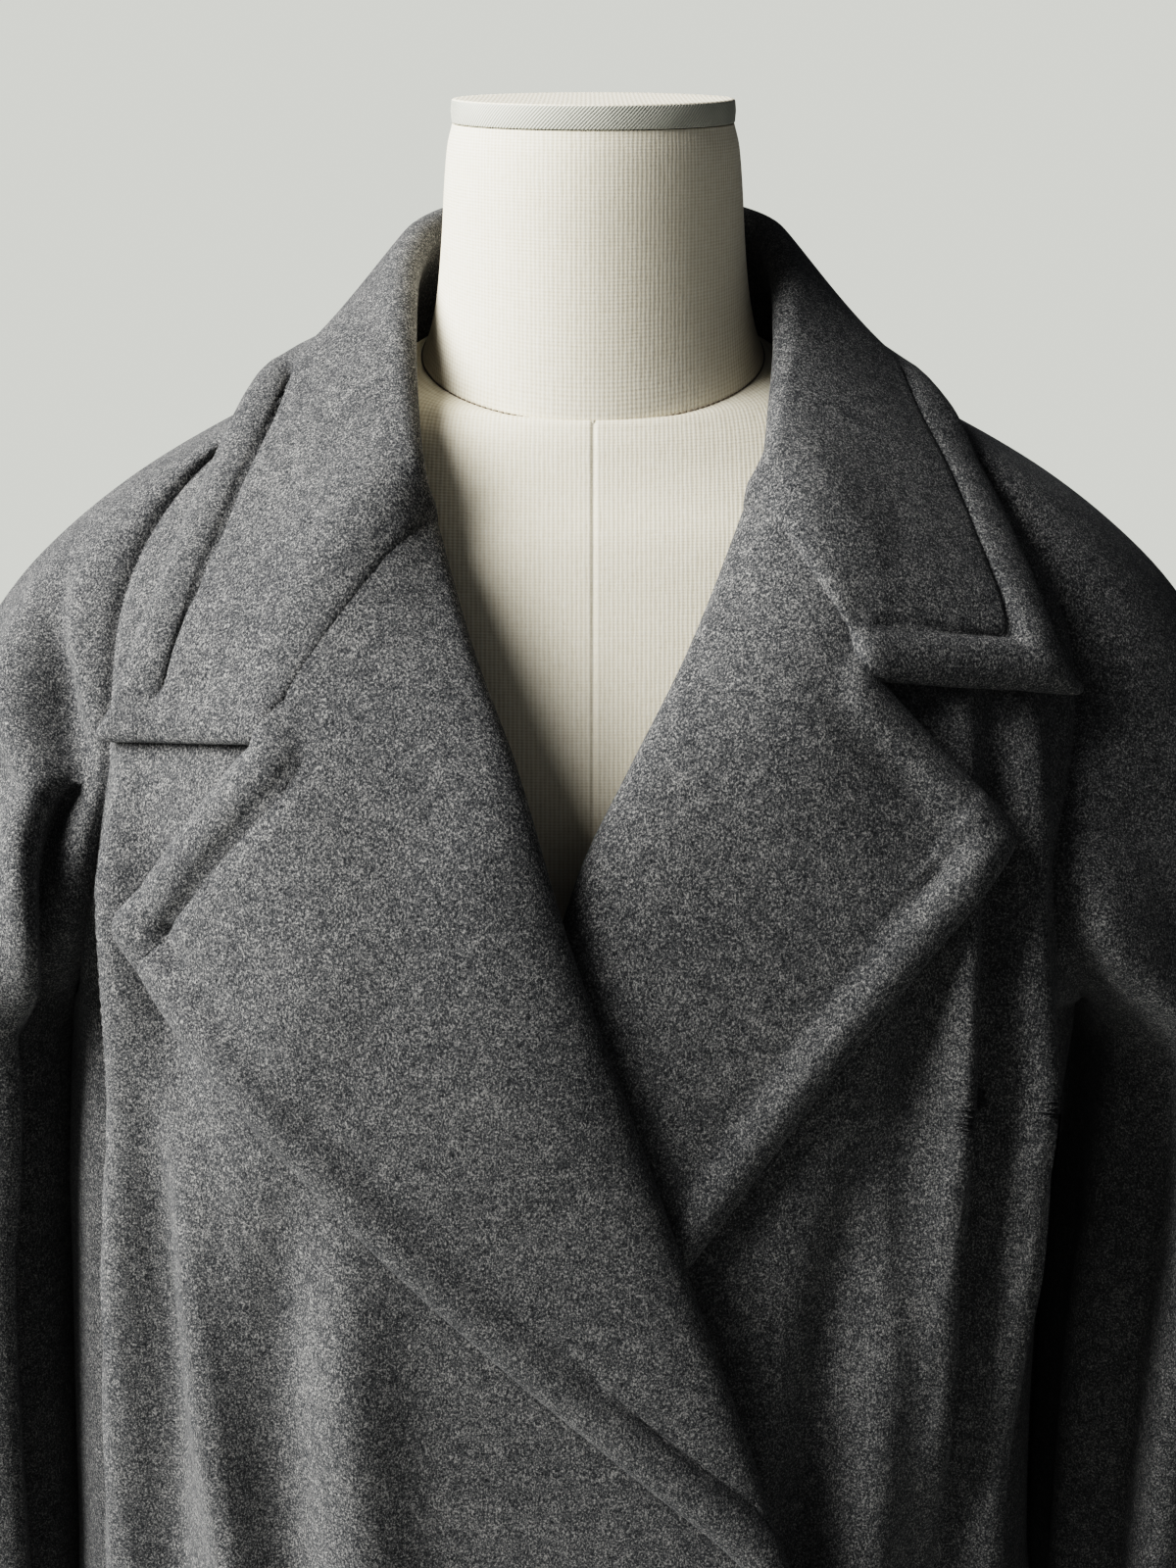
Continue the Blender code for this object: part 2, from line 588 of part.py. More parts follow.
def settle(made, surface, clear):
    """Lifts a laid piece where the middle of a face, or of an edge, still comes nearer
    to the cloth than it may, or where a point of the cloth comes nearer to the piece."""
    mesh = made.data
    across = [item.value for item in mesh.attributes["across"].data]
    laid = [
        poly for poly in mesh.polygons
        if min(across[i] for i in poly.vertices) > ROUND_END + 0.001
    ]
    for _ in range(10):
        lift = {}

        def want(poly, short):
            for i in poly.vertices:
                lift[i] = max(lift.get(i, 0.0), short)

        for poly in laid:
            corners = [mesh.vertices[i].co for i in poly.vertices]
            middles = [(a + b) / 2 for a, b in zip(corners, corners[1:] + corners[:1])]
            for sample in (*middles, sum(corners, Vector()) / len(corners)):
                want(poly, surface.above(sample, clear)[0])
        cover = BVHTree.FromPolygons(
            [v.co for v in mesh.vertices], [list(poly.vertices) for poly in laid]
        )
        for point in surface.points:
            _, normal, _, _ = surface.tree.find_nearest(point)
            _, _, face, distance = cover.ray_cast(point - normal * 0.01, normal, 0.03)
            if face is not None:
                want(laid[face], clear + 0.01 - distance)
        for i, rise in lift.items():
            vert = mesh.vertices[i]
            vert.co += surface.tree.find_nearest(vert.co)[1] * rise * 0.7


def roll_station(side, share):
    """Middle of a lapel's roll, the way it faces, outwards, and up along the roll."""
    roll = RIGHT_ROLL if side == RIGHT else LEFT_ROLL

    def centre(at):
        x = read(roll, "share", at, "x") + side * (ROLL + REVERS / 2)
        turn, level = on_front(x, read(roll, "share", at, "z"))
        normal = shell_normal(turn, level)
        folds = FRONT_FOLDS if side == RIGHT else LEFT_FOLDS
        return cloth_point(turn, level, folds, side) - normal * CLOTH / 2, normal

    here, normal = centre(share)
    up = (centre(max(share - 0.02, 0))[0] - centre(min(share + 0.02, 1))[0]).normalized()
    face = up.cross(normal).normalized()
    if face.x * side > 0:
        face = -face
    return here, face, normal, up


def revers_profile(u, centre, face, out, end, edge, fullness, bend):
    """The cross-section of a collar or lapel: up the inner side, round the roll and out
    over the cloth to its edge, drawn aside by the bend at the notch. u runs from 0 to 1."""
    if u < TURN_END:
        return mix(end, centre - out * ROLL, u / TURN_END)
    if u < ROUND_END:
        beta = math.pi * (1 - (u - TURN_END) / (ROUND_END - TURN_END))
        return centre + out * ROLL * math.cos(beta) + face * ROLL * math.sin(beta)
    t = (u - ROUND_END) / (1 - ROUND_END)
    start = centre + out * ROLL
    ahead = mix(start, edge, 0.5)
    lean = mix(ahead, start - face * (edge - start).length * 0.35, fullness)
    curve = mix(mix(start, lean, t), mix(lean, edge, t), t)
    return curve + bend * min(t / NOTCH_SHARE, (1 - t) / (1 - NOTCH_SHARE))


def on_cloth(side, x, z, clear):
    turn, level = on_front(x, z)
    point = shell(turn, level)
    return point + shell_normal(turn, level) * (lap_rise(side, point) + clear)


def gorge_end(side, tip, shift):
    """The end row of a lapel or of the collar: along the gorge to the notch, then out to
    the tip. Each stops short of the gorge by the shift."""
    centre, face, out, up = roll_station(side, 0.0)
    centre = centre + up * shift
    edge = on_cloth(side, *tip, LIFT + REVERS / 2)
    notch = on_cloth(side, *NOTCH[side], LIFT + REVERS / 2)
    start = centre + out * ROLL
    along = (notch - start).normalized()
    across = (up - along * up.dot(along)).normalized()
    bend = notch + across * shift - mix(start, edge, NOTCH_SHARE)
    return centre, face, out, edge, bend


def lapel_place(side, surface):
    edge_table = RIGHT_LAPEL_EDGE if side == RIGHT else LEFT_LAPEL_EDGE
    clear = LIFT + REVERS / 2
    gorge = gorge_end(side, (edge_table[0].x, edge_table[0].z), -GORGE_SEAM)

    def place(u, v):
        share = mix(0.0, 0.97, v)
        centre, face, out, edge, bend = gorge
        if v > 1e-6:
            centre, face, out, _ = roll_station(side, share)
            x = read(edge_table, "share", share, "x")
            edge = on_cloth(side, x, read(edge_table, "share", share, "z"), clear)
        end = centre - out * ROLL - face * RETURN * mix(1.0, 0.3, v)
        near = 1 - ease(v / 0.25)
        point = revers_profile(u, centre, face, out, end, edge, 1 - near, bend * near)
        return point if u < ROUND_END else surface.push_out(point, clear)

    return place


def neckline(share, places):
    """The panels' top edge from the right gorge round to the left one: the point, and
    the direction away from the panel, and outwards."""
    spans = (
        (0.00, 0.22, places[0], False), (0.22, 0.34, places[1], False),
        (0.34, 0.66, places[2], True), (0.66, 0.78, places[3], True),
        (0.78, 1.00, places[4], True),
    )
    start, stop, place, backwards = next(span for span in spans if share <= span[1] + 1e-9)
    t = (share - start) / (stop - start)
    if backwards:
        t = 1 - t
    here = place(t, 0)
    along = place(min(t + 0.05, 1), 0) - place(max(t - 0.05, 0), 0)
    along = (-along if backwards else along).normalized()
    away = here - place(mix(t, 0.5, 0.4), 0.1)
    away = (away - along * away.dot(along)).normalized()
    return here, away, away.cross(along).normalized()


def collar_place(surface, places):
    clear = LIFT + REVERS / 2
    ends = {side: gorge_end(side, COLLAR_TIP[side], GORGE_SEAM) for side in (RIGHT, LEFT)}
    stations = [
        Station(0.0, *ends[RIGHT][0], *ends[RIGHT][1], *ends[RIGHT][3]),
        *COLLAR,
        Station(1.0, *ends[LEFT][0], *ends[LEFT][1], *ends[LEFT][3]),
    ]

    def column(share, *names):
        return Vector([read(stations, "share", share, name) for name in names])

    def place(u, v):
        v = COLLAR_SHARES[round(v * COLLAR_ROWS)]
        from_end = min(v, 1 - v)
        centre, face, out, edge, bend = ends[RIGHT if v < 0.5 else LEFT]
        if from_end > 1e-6:
            centre = column(v, "x", "y", "z")
            along = column(min(v + 0.01, 1), "x", "y", "z") - column(max(v - 0.01, 0), "x", "y", "z")
            along.normalize()
            face = column(v, "face_x", "face_y", "face_z")
            face = (face - along * face.dot(along)).normalized()
            out = face.cross(along).normalized()
            edge = column(v, "edge_x", "edge_y", "edge_z")
        seam, away, outward = neckline(v, places)
        beside = REVERS / 2 + COLLAR_AIR
        end = centre - out * ROLL - face * COLLAR_RETURN
        if from_end > 1e-6:
            centre += away * max(0.0, beside - (centre - seam).dot(away))
            end = seam + away * beside - outward * CLOTH / 2
        near = 1 - ease(from_end / 0.12)
        point = revers_profile(u, centre, face, out, end, edge, 1 - near, bend * near)
        return point if u < ROUND_END else surface.push_out(point, clear)

    return place


# ---------------------------------------------------------------- buttons


def button(name, x, z, surface, material, collection):
    """A turned button, lying on the cloth at that place."""
    seat = on_cloth(RIGHT, x, z, 0.0)
    place, normal, _, _ = surface.tree.find_nearest(seat)
    r, h = BUTTON_RADIUS, BUTTON_DEPTH
    profile = (
        (0.0, 0.55 * h), (0.50 * r, 0.55 * h), (0.66 * r, 0.95 * h), (0.84 * r, h),
        (r, 0.72 * h), (r, 0.35 * h), (0.86 * r, 0.0), (0.0, 0.0),
    )
    bm = bmesh.new()
    verts = [bm.verts.new((a, 0, b)) for a, b in profile]
    for a, b in zip(verts, verts[1:]):
        bm.edges.new((a, b))
    made = new_object(name, bm, material, collection)
    spin_round(made, BUTTON_STEPS)
    facing = normal.to_track_quat("Z", "Y")
    made.rotation_euler = facing.to_euler()
    lift = 0.0
    for k in range(BUTTON_STEPS):
        a = 2 * math.pi * k / BUTTON_STEPS
        rim = place + facing @ Vector((math.cos(a), math.sin(a), 0)) * 0.9 * r
        lift = max(lift, surface.above(rim, BUTTON_AIR)[0])
    made.location = place + normal * lift
    return made


# ---------------------------------------------------------------- the dress form


def rings(name, levels, count, place, material, collection):
    """A closed body through rings of points: place(level, turn)."""
    bm = bmesh.new()
    loops = []
    for level in levels:
        loop = bmesh.ops.create_circle(bm, cap_ends=False, segments=count, radius=1)["verts"]
        for k, vert in enumerate(loop):
            vert.co = place(level, 360 * k / count)
        loops.append([e for e in bm.edges if e.verts[0] in loop and e.verts[1] in loop])
    for low, high in zip(loops, loops[1:]):
        bmesh.ops.bridge_loops(bm, edges=low + high)
    for end in (loops[0], loops[-1]):
        bmesh.ops.contextual_create(bm, geom=end)
    bmesh.ops.recalc_face_normals(bm, faces=bm.faces)
    made = new_object(name, bm, material, collection)
    made.data.set_sharp_from_angle(angle=math.radians(50))
    return made


def form_point(z, turn):
    point = section_point(FORM, turn, z)
    point.z += read(FORM, "z", z, "tilt") * (point.y - AXIS_Y)
    return point


def neck_point(z, turn):
    a = math.radians(turn)
    ahead = read(NECK, "z", z, "depth") * math.cos(a)
    return Vector((
        read(NECK, "z", z, "width") * math.sin(a),
        read(NECK, "z", z, "y") - ahead,
        z - read(NECK, "z", z, "tilt") * ahead,
    ))


def turned(name, profile, steps, material, collection):
    """A turned part about the Z axis; the profile runs down its outer side."""
    bm = bmesh.new()
    verts = [bm.verts.new((r, 0, z)) for r, z in profile]
    for a, b in zip(verts, verts[1:]):
        bm.edges.new((a, b))
    made = new_object(name, bm, material, collection)
    spin_round(made, steps)
    made.data.set_sharp_from_angle(angle=math.radians(40))
    return made


# ---------------------------------------------------------------- the whole


def build():
    for obj in list(bpy.data.objects):
        bpy.data.objects.remove(obj)
    coat = bpy.data.collections.new("double_breasted_coat")
    bpy.context.scene.collection.children.link(coat)

    wool = paint("wool", (0.062, 0.063, 0.066), 0.95)
    horn = paint("horn", (0.022, 0.021, 0.020), 0.30)
    linen = paint("linen", (0.62, 0.57, 0.48), 0.90)
    tape = paint("tape", (0.50, 0.50, 0.45), 0.85)
    steel = paint("steel", (0.55, 0.55, 0.54), 0.35, 1.0)
    iron = paint("iron", (0.03, 0.03, 0.03), 0.45)

    # Fronts, back and sleeves.
    rows = YOKE_ROWS + SKIRT_ROWS
    arm_rows = YOKE_ROWS + ARM_ROWS
    place_right = front_place(RIGHT)
    place_left = front_place(LEFT)
    arm_right = sleeve_place(RIGHT, RIGHT_ARM_FOLDS)
    arm_left = sleeve_place(LEFT, LEFT_ARM_FOLDS)
    front_right = sheet("front_right", FRONT_COLUMNS, rows, place_right, CLOTH, -1, True, wool, coat)
    front_left = sheet("front_left", FRONT_COLUMNS, rows, place_left, CLOTH, -1, False, wool, coat)
    back = sheet("back", BACK_COLUMNS, rows, back_place, CLOTH, -1, False, wool, coat)
    sleeve_right = sheet("sleeve_right", ARM_COLUMNS, arm_rows, arm_right, CLOTH, -1, True, wool, coat)
    sleeve_left = sheet("sleeve_left", ARM_COLUMNS, arm_rows, arm_left, CLOTH, -1, False, wool, coat)

    # Lapels and collar, laid on the panels.
    for word, side, front in (("right", RIGHT, front_right), ("left", LEFT, front_left)):
        surface = Surface(front)
        lapel = sheet(f"lapel_{word}", REVERS_STEPS, LAPEL_ROWS, lapel_place(side, surface),
                      REVERS, 0, side == RIGHT, wool, coat)
        settle(lapel, surface, LIFT + REVERS / 2)
    surface = Surface(front_right, front_left, back, sleeve_right, sleeve_left)
    places = (place_right, arm_right, back_place, arm_left, place_left)
    collar = sheet("collar", REVERS_STEPS, COLLAR_ROWS, collar_place(surface, places),
                   REVERS, 0, False, wool, coat)
    settle(collar, surface, LIFT + REVERS / 2)

    # Buttons, two columns.
    fastened = Surface(front_right)
    for row, z in enumerate(BUTTON_ROWS, 1):
        for word, x in (("right", -BUTTON_X), ("left", BUTTON_X)):
            button(f"button_{word}_{row}", x, z, fastened, horn, coat)

    # The dress form and its stand.
    rings("form_torso", [row.z for row in FORM], 32, form_point, linen, coat)
    rings("form_neck", [row.z for row in NECK], 32, neck_point, linen, coat)
    turned("neck_cap", (
        (0.0, TOP_Z), (CAP_RADIUS - 0.001, TOP_Z), (CAP_RADIUS, TOP_Z - 0.001),
        (CAP_RADIUS, CAP_Z), (0.0, CAP_Z),
    ), 40, tape, coat)
    turned("pole", (
        (0.0, FORM[0].z - 0.0003), (POLE_RADIUS, FORM[0].z - 0.0003),
        (POLE_RADIUS, FOOT_HEIGHT + 0.0003), (0.0, FOOT_HEIGHT + 0.0003),
    ), 24, steel, coat)
    turned("foot", (
        (0.0, FOOT_HEIGHT), (0.024, FOOT_HEIGHT), (0.030, FOOT_HEIGHT - 0.006),
        (0.034, 0.018), (0.150, 0.011), (FOOT_RADIUS - 0.003, 0.008), (FOOT_RADIUS, 0.005),
        (FOOT_RADIUS, 0.0), (0.0, 0.0),
    ), 48, iron, coat)


build()
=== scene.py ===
# %% [markdown]
# A double-breasted wool coat on a limbless dress form.
#
# The coat hangs open at the throat, with the wearer's right front lapped over the left one.
# Everything here is in metres, +Z is up, the front faces -Y, and the frame that is loaded
# first holds the solids that each piece of cloth takes its place from.

# %% Load the frame
import math

import bmesh
import bpy
import numpy as np
from mathutils import Matrix, Vector
from mathutils.bvhtree import BVHTree


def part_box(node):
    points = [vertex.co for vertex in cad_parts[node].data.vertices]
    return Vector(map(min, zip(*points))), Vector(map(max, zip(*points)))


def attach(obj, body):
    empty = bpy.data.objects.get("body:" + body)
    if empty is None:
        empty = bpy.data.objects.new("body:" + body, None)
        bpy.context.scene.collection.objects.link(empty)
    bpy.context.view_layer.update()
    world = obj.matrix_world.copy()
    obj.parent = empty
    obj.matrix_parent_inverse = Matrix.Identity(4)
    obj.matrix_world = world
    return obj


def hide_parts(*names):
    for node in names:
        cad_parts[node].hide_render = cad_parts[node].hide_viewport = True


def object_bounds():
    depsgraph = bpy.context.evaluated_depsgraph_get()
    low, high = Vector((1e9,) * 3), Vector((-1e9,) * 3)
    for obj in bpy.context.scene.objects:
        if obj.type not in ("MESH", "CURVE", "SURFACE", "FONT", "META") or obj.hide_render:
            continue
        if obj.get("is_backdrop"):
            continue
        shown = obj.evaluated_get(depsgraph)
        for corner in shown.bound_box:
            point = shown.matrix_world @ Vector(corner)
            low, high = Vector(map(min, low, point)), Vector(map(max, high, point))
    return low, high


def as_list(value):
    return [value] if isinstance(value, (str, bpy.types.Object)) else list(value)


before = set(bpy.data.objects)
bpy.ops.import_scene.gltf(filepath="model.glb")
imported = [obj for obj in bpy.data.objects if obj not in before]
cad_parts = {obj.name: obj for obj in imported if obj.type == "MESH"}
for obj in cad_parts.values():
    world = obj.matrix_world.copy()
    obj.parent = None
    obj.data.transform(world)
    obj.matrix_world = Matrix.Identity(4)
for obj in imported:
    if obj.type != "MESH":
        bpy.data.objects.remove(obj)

solid_low, solid_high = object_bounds()
print("solids from", [round(v, 4) for v in solid_low], "to", [round(v, 4) for v in solid_high])

# %% [markdown]
# The camera stands a little under a metre in front of the coat, just above the neck block,
# and looks down at the lapels. It comes first, so that each piece can be looked at as it is
# made. A lens of 54 mm on a 36 mm sensor keeps the shoulders from bulging towards it.

# %% Camera
CAMERA_PLACE = (-0.002, -0.9138, 1.5583)
CAMERA_DOWN = 18.66     # degrees below the horizon

camera = bpy.data.objects.new("camera", bpy.data.cameras.new("camera"))
camera.data.lens = 54
camera.data.sensor_width = 36
camera.location = CAMERA_PLACE
camera.rotation_euler = (math.radians(90 - CAMERA_DOWN), 0, 0)
bpy.context.scene.collection.objects.link(camera)
bpy.context.scene.camera = camera

# %% [markdown]
# Short helpers for nodes. The first adds a node with its settings and its inputs in one go;
# an input is either a value or another node's output. Every finish reads Object coordinates
# in metres or a UV map in metres, so that a fleck of wool or a thread of linen has its real
# size on every piece.


# %% Node helpers
def add(tree, kind, inputs=None, **settings):
    node = tree.nodes.new("ShaderNode" + kind)
    for name, value in settings.items():
        setattr(node, name, value)
    for name, value in (inputs or {}).items():
        if isinstance(value, bpy.types.NodeSocket):
            tree.links.new(value, node.inputs[name])
        else:
            node.inputs[name].default_value = value
    return node


def sum_of(tree, a, b, how="ADD"):
    return add(tree, "Math", {0: a, 1: b}, operation=how).outputs[0]


def blend(tree, *shares):
    """Heights added up, each by its share."""
    total = None
    for height, share in shares:
        part = sum_of(tree, height, share, "MULTIPLY")
        total = part if total is None else sum_of(tree, total, part)
    return total


def finish(name, roughness, metallic=0.0, **sockets):
    made = bpy.data.materials.new(name)
    made.use_nodes = True
    shader = made.node_tree.nodes["Principled BSDF"]
    for socket, value in {"Roughness": roughness, "Metallic": metallic, **sockets}.items():
        shader.inputs[socket.replace("_", " ")].default_value = value
    return made, made.node_tree, shader


def coloured(tree, shader, amount, *stops, socket="Base Color"):
    """Colours a finish by a height: each stop is a place on the ramp and its colour."""
    node = add(tree, "ValToRGB", {"Fac": amount})
    elements = node.color_ramp.elements
    while len(elements) < len(stops):
        elements.new(0.5)
    for element, (place, colour) in zip(elements, stops):
        element.position = place
        element.color = (*colour, 1)
    tree.links.new(node.outputs["Color"], shader.inputs[socket])


def raised(tree, shader, height, strength, distance):
    bump = add(tree, "Bump", {"Height": height, "Strength": strength, "Distance": distance})
    tree.links.new(bump.outputs[0], shader.inputs["Normal"])


def in_place(tree):
    return add(tree, "TexCoord").outputs["Object"]


def on_map(tree):
    return add(tree, "UVMap", uv_map="thread").outputs["UV"]


def noise(tree, where, grain, detail=2.0, roughness=0.5):
    """Noise whose blobs are about as wide as the grain, in metres."""
    settings = {"Vector": where, "Scale": 1 / grain, "Detail": detail, "Roughness": roughness}
    return add(tree, "TexNoise", settings).outputs["Fac"]


def streaks(tree, where, scale, detail=2.0):
    """Noise drawn out along the way that has the smallest scale."""
    drawn_out = add(tree, "Mapping", {"Vector": where, "Scale": scale}).outputs["Vector"]
    return noise(tree, drawn_out, 1.0, detail)


# %% [markdown]
# A studio light for dark wool. One large softbox stands far round to the left, so that
# the folds and the stitched edges throw shadows to the right; nap only shows when light
# rakes over it. A dim sky fills the shadows, a softbox behind shows the back to whoever
# walks round the coat, and the camera sees a plain pale backdrop.


# %% Lights and backdrop
def softbox(name, place, aim, size, power, colour):
    light = bpy.data.lights.new(name, "AREA")
    light.shape, light.size, light.energy, light.color = "SQUARE", size, power, colour
    box = bpy.data.objects.new(name, light)
    box.location = place
    box.rotation_euler = (Vector(aim) - Vector(place)).to_track_quat("-Z", "Y").to_euler()
    bpy.context.scene.collection.objects.link(box)


CHEST, HIPS = (0.0, -0.05, 1.3), (0.0, 0.0, 0.95)
WARM, COOL = (1.0, 0.985, 0.96), (0.93, 0.96, 1.0)
BACKDROP = (0.5, 0.51, 0.465, 1)
softbox("key", (-2.01, -0.66, 2.62), CHEST, 2.0, 132, WARM)
softbox("fill", (1.4, -2.6, 1.9), CHEST, 2.2, 0.8, COOL)
softbox("back", (0.0, 3.0, 1.0), HIPS, 1.6, 16, COOL)

world = bpy.data.worlds.new("studio")
world.use_nodes = True
sky = world.node_tree
sky.nodes.clear()
glow = add(sky, "Background", {"Color": (*COOL, 1), "Strength": 0.045}).outputs[0]
seen = add(sky, "Background", {"Color": BACKDROP}).outputs[0]
seen_by_camera = add(sky, "LightPath").outputs["Is Camera Ray"]
either = add(sky, "MixShader", {0: seen_by_camera, 1: glow, 2: seen}).outputs[0]
add(sky, "OutputWorld", {"Surface": either})
bpy.context.scene.world = world
grading = bpy.context.scene.view_settings
grading.view_transform = "Filmic"
grading.look = "High Contrast"
grading.exposure = 0.6
print("lights:", [light.name for light in bpy.data.lights])

# %% [markdown]
# The wool is a milled melange: black, grey and nearly white fibres spun together, then
# brushed up so that no weave shows. Flecks about a millimetre wide carry the colour, a
# finer noise stands for single fibres, and two slower ones for where the nap lies thicker.
# The same heights go to the bump, and a little sheen gives the soft bright rim.

# %% Wool
wool, tree, shader = finish("wool", 0.95, Sheen_Weight=0.06, Sheen_Roughness=0.5,
                            Sheen_Tint=(*COOL, 1), Specular_IOR_Level=0.15)
spot = in_place(tree)
nap = add(tree, "Mapping", {"Vector": spot, "Scale": (1.0, 1.0, 0.72)}).outputs["Vector"]
melange = blend(
    tree,
    (noise(tree, nap, 0.00068, 2.5, 0.62), 0.55),       # flecks
    (noise(tree, nap, 0.0003, 1.0), 0.31),              # fibres
    (noise(tree, spot, 0.0048), 0.1),                   # tufts of the nap
    (noise(tree, spot, 0.045), 0.04),                   # where it lies thicker
)
coloured(tree, shader, melange,
         (0.37, (0.01, 0.011, 0.012)), (0.455, (0.038, 0.04, 0.043)),
         (0.53, (0.094, 0.095, 0.097)), (0.62, (0.31, 0.307, 0.298)))
raised(tree, shader, melange, 0.5, 0.0007)

# %% [markdown]
# The dress form is covered in unbleached linen. Its threads run straight up and down and
# across, each about a millimetre apart, thick in some places and thin in others. The UV map
# is laid out in metres, so two sine waves along it make the weave, and noise stretched
# along each thread makes the slubs.


# %% Linen
def threads(tree, along, pitch, sway):
    """Height of parallel threads that far apart, swayed from side to side a little."""
    phase = blend(tree, (along, 2 * math.pi / pitch), (sway, 3.0))
    wave = add(tree, "Math", {0: phase}, operation="SINE").outputs[0]
    return sum_of(tree, sum_of(tree, wave, 0.5, "MULTIPLY"), 0.5)


linen, tree, shader = finish("linen", 0.88, Sheen_Weight=0.08, Specular_IOR_Level=0.2)
cloth_map = on_map(tree)
around, upwards, _ = add(tree, "SeparateXYZ", {"Vector": cloth_map}).outputs
warp_slub = streaks(tree, cloth_map, (600, 130, 1))
weft_slub = streaks(tree, cloth_map, (110, 900, 1))
weave = blend(
    tree,
    (threads(tree, around, 0.0017, warp_slub), 0.26),
    (threads(tree, upwards, 0.0011, weft_slub), 0.18),
    (warp_slub, 0.2), (weft_slub, 0.16),
    (noise(tree, in_place(tree), 0.0021, 1.0), 0.2),    # nubs of unbleached flax
)
coloured(tree, shader, weave, (0.26, (0.7, 0.63, 0.49)), (0.5, (0.84, 0.775, 0.63)),
         (0.78, (0.9, 0.86, 0.75)))
raised(tree, shader, weave, 0.5, 0.0005)

# %% [markdown]
# The tape round the cap is a narrow twill: diagonal ribs, cream and grey-green. Thread for
# the seams is brown, the buttons are dark horn with paler streaks, and the stand is brushed
# steel on a foot of black painted iron.

# %% Tape, thread, horn, steel and iron
tape, tree, shader = finish("tape", 0.8)
around, upwards, _ = add(tree, "SeparateXYZ", {"Vector": on_map(tree)}).outputs
patch = noise(tree, in_place(tree), 0.03, 1.0)
ribs = threads(tree, sum_of(tree, around, upwards, "SUBTRACT"), 0.0014, patch)
coloured(tree, shader, blend(tree, (ribs, 0.55), (patch, 0.75)),
         (0.25, (0.27, 0.29, 0.25)), (0.6, (0.48, 0.485, 0.425)), (0.85, (0.62, 0.61, 0.54)))
raised(tree, shader, ribs, 0.5, 0.0004)

thread, tree, shader = finish("thread", 0.8, Base_Color=(0.2, 0.165, 0.125, 1))

horn, tree, shader = finish("horn", 0.28)
coloured(tree, shader, streaks(tree, in_place(tree), (60, 60, 240), 4.0),
         (0.35, (0.01, 0.009, 0.008)), (0.55, (0.028, 0.024, 0.02)),
         (0.72, (0.075, 0.058, 0.042)))

steel, tree, shader = finish("steel", 0.34, 1.0)
brushed = streaks(tree, in_place(tree), (300, 300, 4000))
coloured(tree, shader, brushed, (0.3, (0.46, 0.46, 0.45)), (0.7, (0.62, 0.62, 0.61)))
coloured(tree, shader, brushed, (0.3, (0.26,) * 3), (0.7, (0.42,) * 3), socket="Roughness")

iron, tree, shader = finish("iron", 0.45)
paint_grain = noise(tree, in_place(tree), 0.0016, 3.0)
coloured(tree, shader, paint_grain, (0.3, (0.018,) * 3), (0.7, (0.036,) * 3))
raised(tree, shader, paint_grain, 0.3, 0.0004)

pale, tree, shader = finish("pale_floor", 0.9)
coloured(tree, shader, noise(tree, in_place(tree), 0.4, 3.0),
         (0.3, (0.56, 0.565, 0.54)), (0.7, (0.6, 0.605, 0.58)))
print("materials:", [m.name for m in bpy.data.materials])

# %% [markdown]
# Cloth as a grid. Every panel of the coat is one rectangular grid of points, rows from the
# neck down and columns across, bent to its shape with numpy and then given to a bmesh grid.
# A Solidify modifier makes the wall, and a vertex group thins it towards the cut edges, so
# that each edge is round like a turned one.


# %% From a grid of points to a piece
SAME_PLACE = 1e-6       # points nearer than this are one


def link(name, bm, *materials):
    mesh = bpy.data.meshes.new(name)
    bm.to_mesh(mesh)
    bm.free()
    mesh.shade_smooth()
    for material in materials:
        mesh.materials.append(material)
    made = bpy.data.objects.new(name, mesh)
    bpy.context.scene.collection.objects.link(made)
    return made


def settle(made, node=None):
    """Fixes a piece to the body, and hides the solid that it replaces."""
    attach(made, "root")
    if node:
        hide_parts(node)
    return made


def woven_grid(grid, flipped, weights=None, cloth_map=None):
    """A bmesh grid at those points. A flipped one runs the other way, and so faces the
    other way. Columns that meet, as on a tube, are merged."""
    rows, columns = grid.shape[:2]
    bm = bmesh.new()
    bmesh.ops.create_grid(bm, x_segments=columns - 1, y_segments=rows - 1, size=0.5)
    order = np.arange(rows * columns).reshape(rows, columns)[::-1, ::-1 if flipped else 1].ravel()
    for vert, place in zip(bm.verts, grid.reshape(-1, 3)[order].tolist()):
        vert.co = place
    if weights is not None:
        group = bm.verts.layers.deform.verify()
        for vert, weight in zip(bm.verts, weights.ravel()[order].tolist()):
            vert[group][0] = weight
    if cloth_map is not None:
        layer = bm.loops.layers.uv.new("thread")
        places = cloth_map.reshape(-1, 2)[order].tolist()
        for face in bm.faces:
            for loop in face.loops:
                loop[layer].uv = places[loop.vert.index]
    bmesh.ops.remove_doubles(bm, verts=bm.verts, dist=SAME_PLACE)
    for edge in bm.edges:
        edge.smooth = not edge.is_boundary
    return bm


def cloth_piece(name, grid, wall, weights, flipped, offset):
    made = link(f"coat_{name}", woven_grid(grid, flipped, weights), wool)
    made.vertex_groups.new(name="wall")
    solid = made.modifiers.new("wall", "SOLIDIFY")
    solid.thickness = wall
    solid.offset = offset
    solid.use_quality_normals = True
    solid.vertex_group = "wall"
    solid.thickness_vertex_group = 0.0
    return settle(made, name)


def facing(grid, flipped):
    """Unit normals of a grid, towards the side that shows."""
    across, down = np.gradient(grid, axis=1), np.gradient(grid, axis=0)
    return unit(np.cross(down, across) * (-1 if flipped else 1))


# %% [markdown]
# Edges and seams. The distance to each edge of a grid is measured along its rows and
# columns. Within one wall's thickness of a cut edge the wall thins out to a round, and at
# a seam the cloth rolls in, which makes the fine ditch of two edges sewn and pressed.


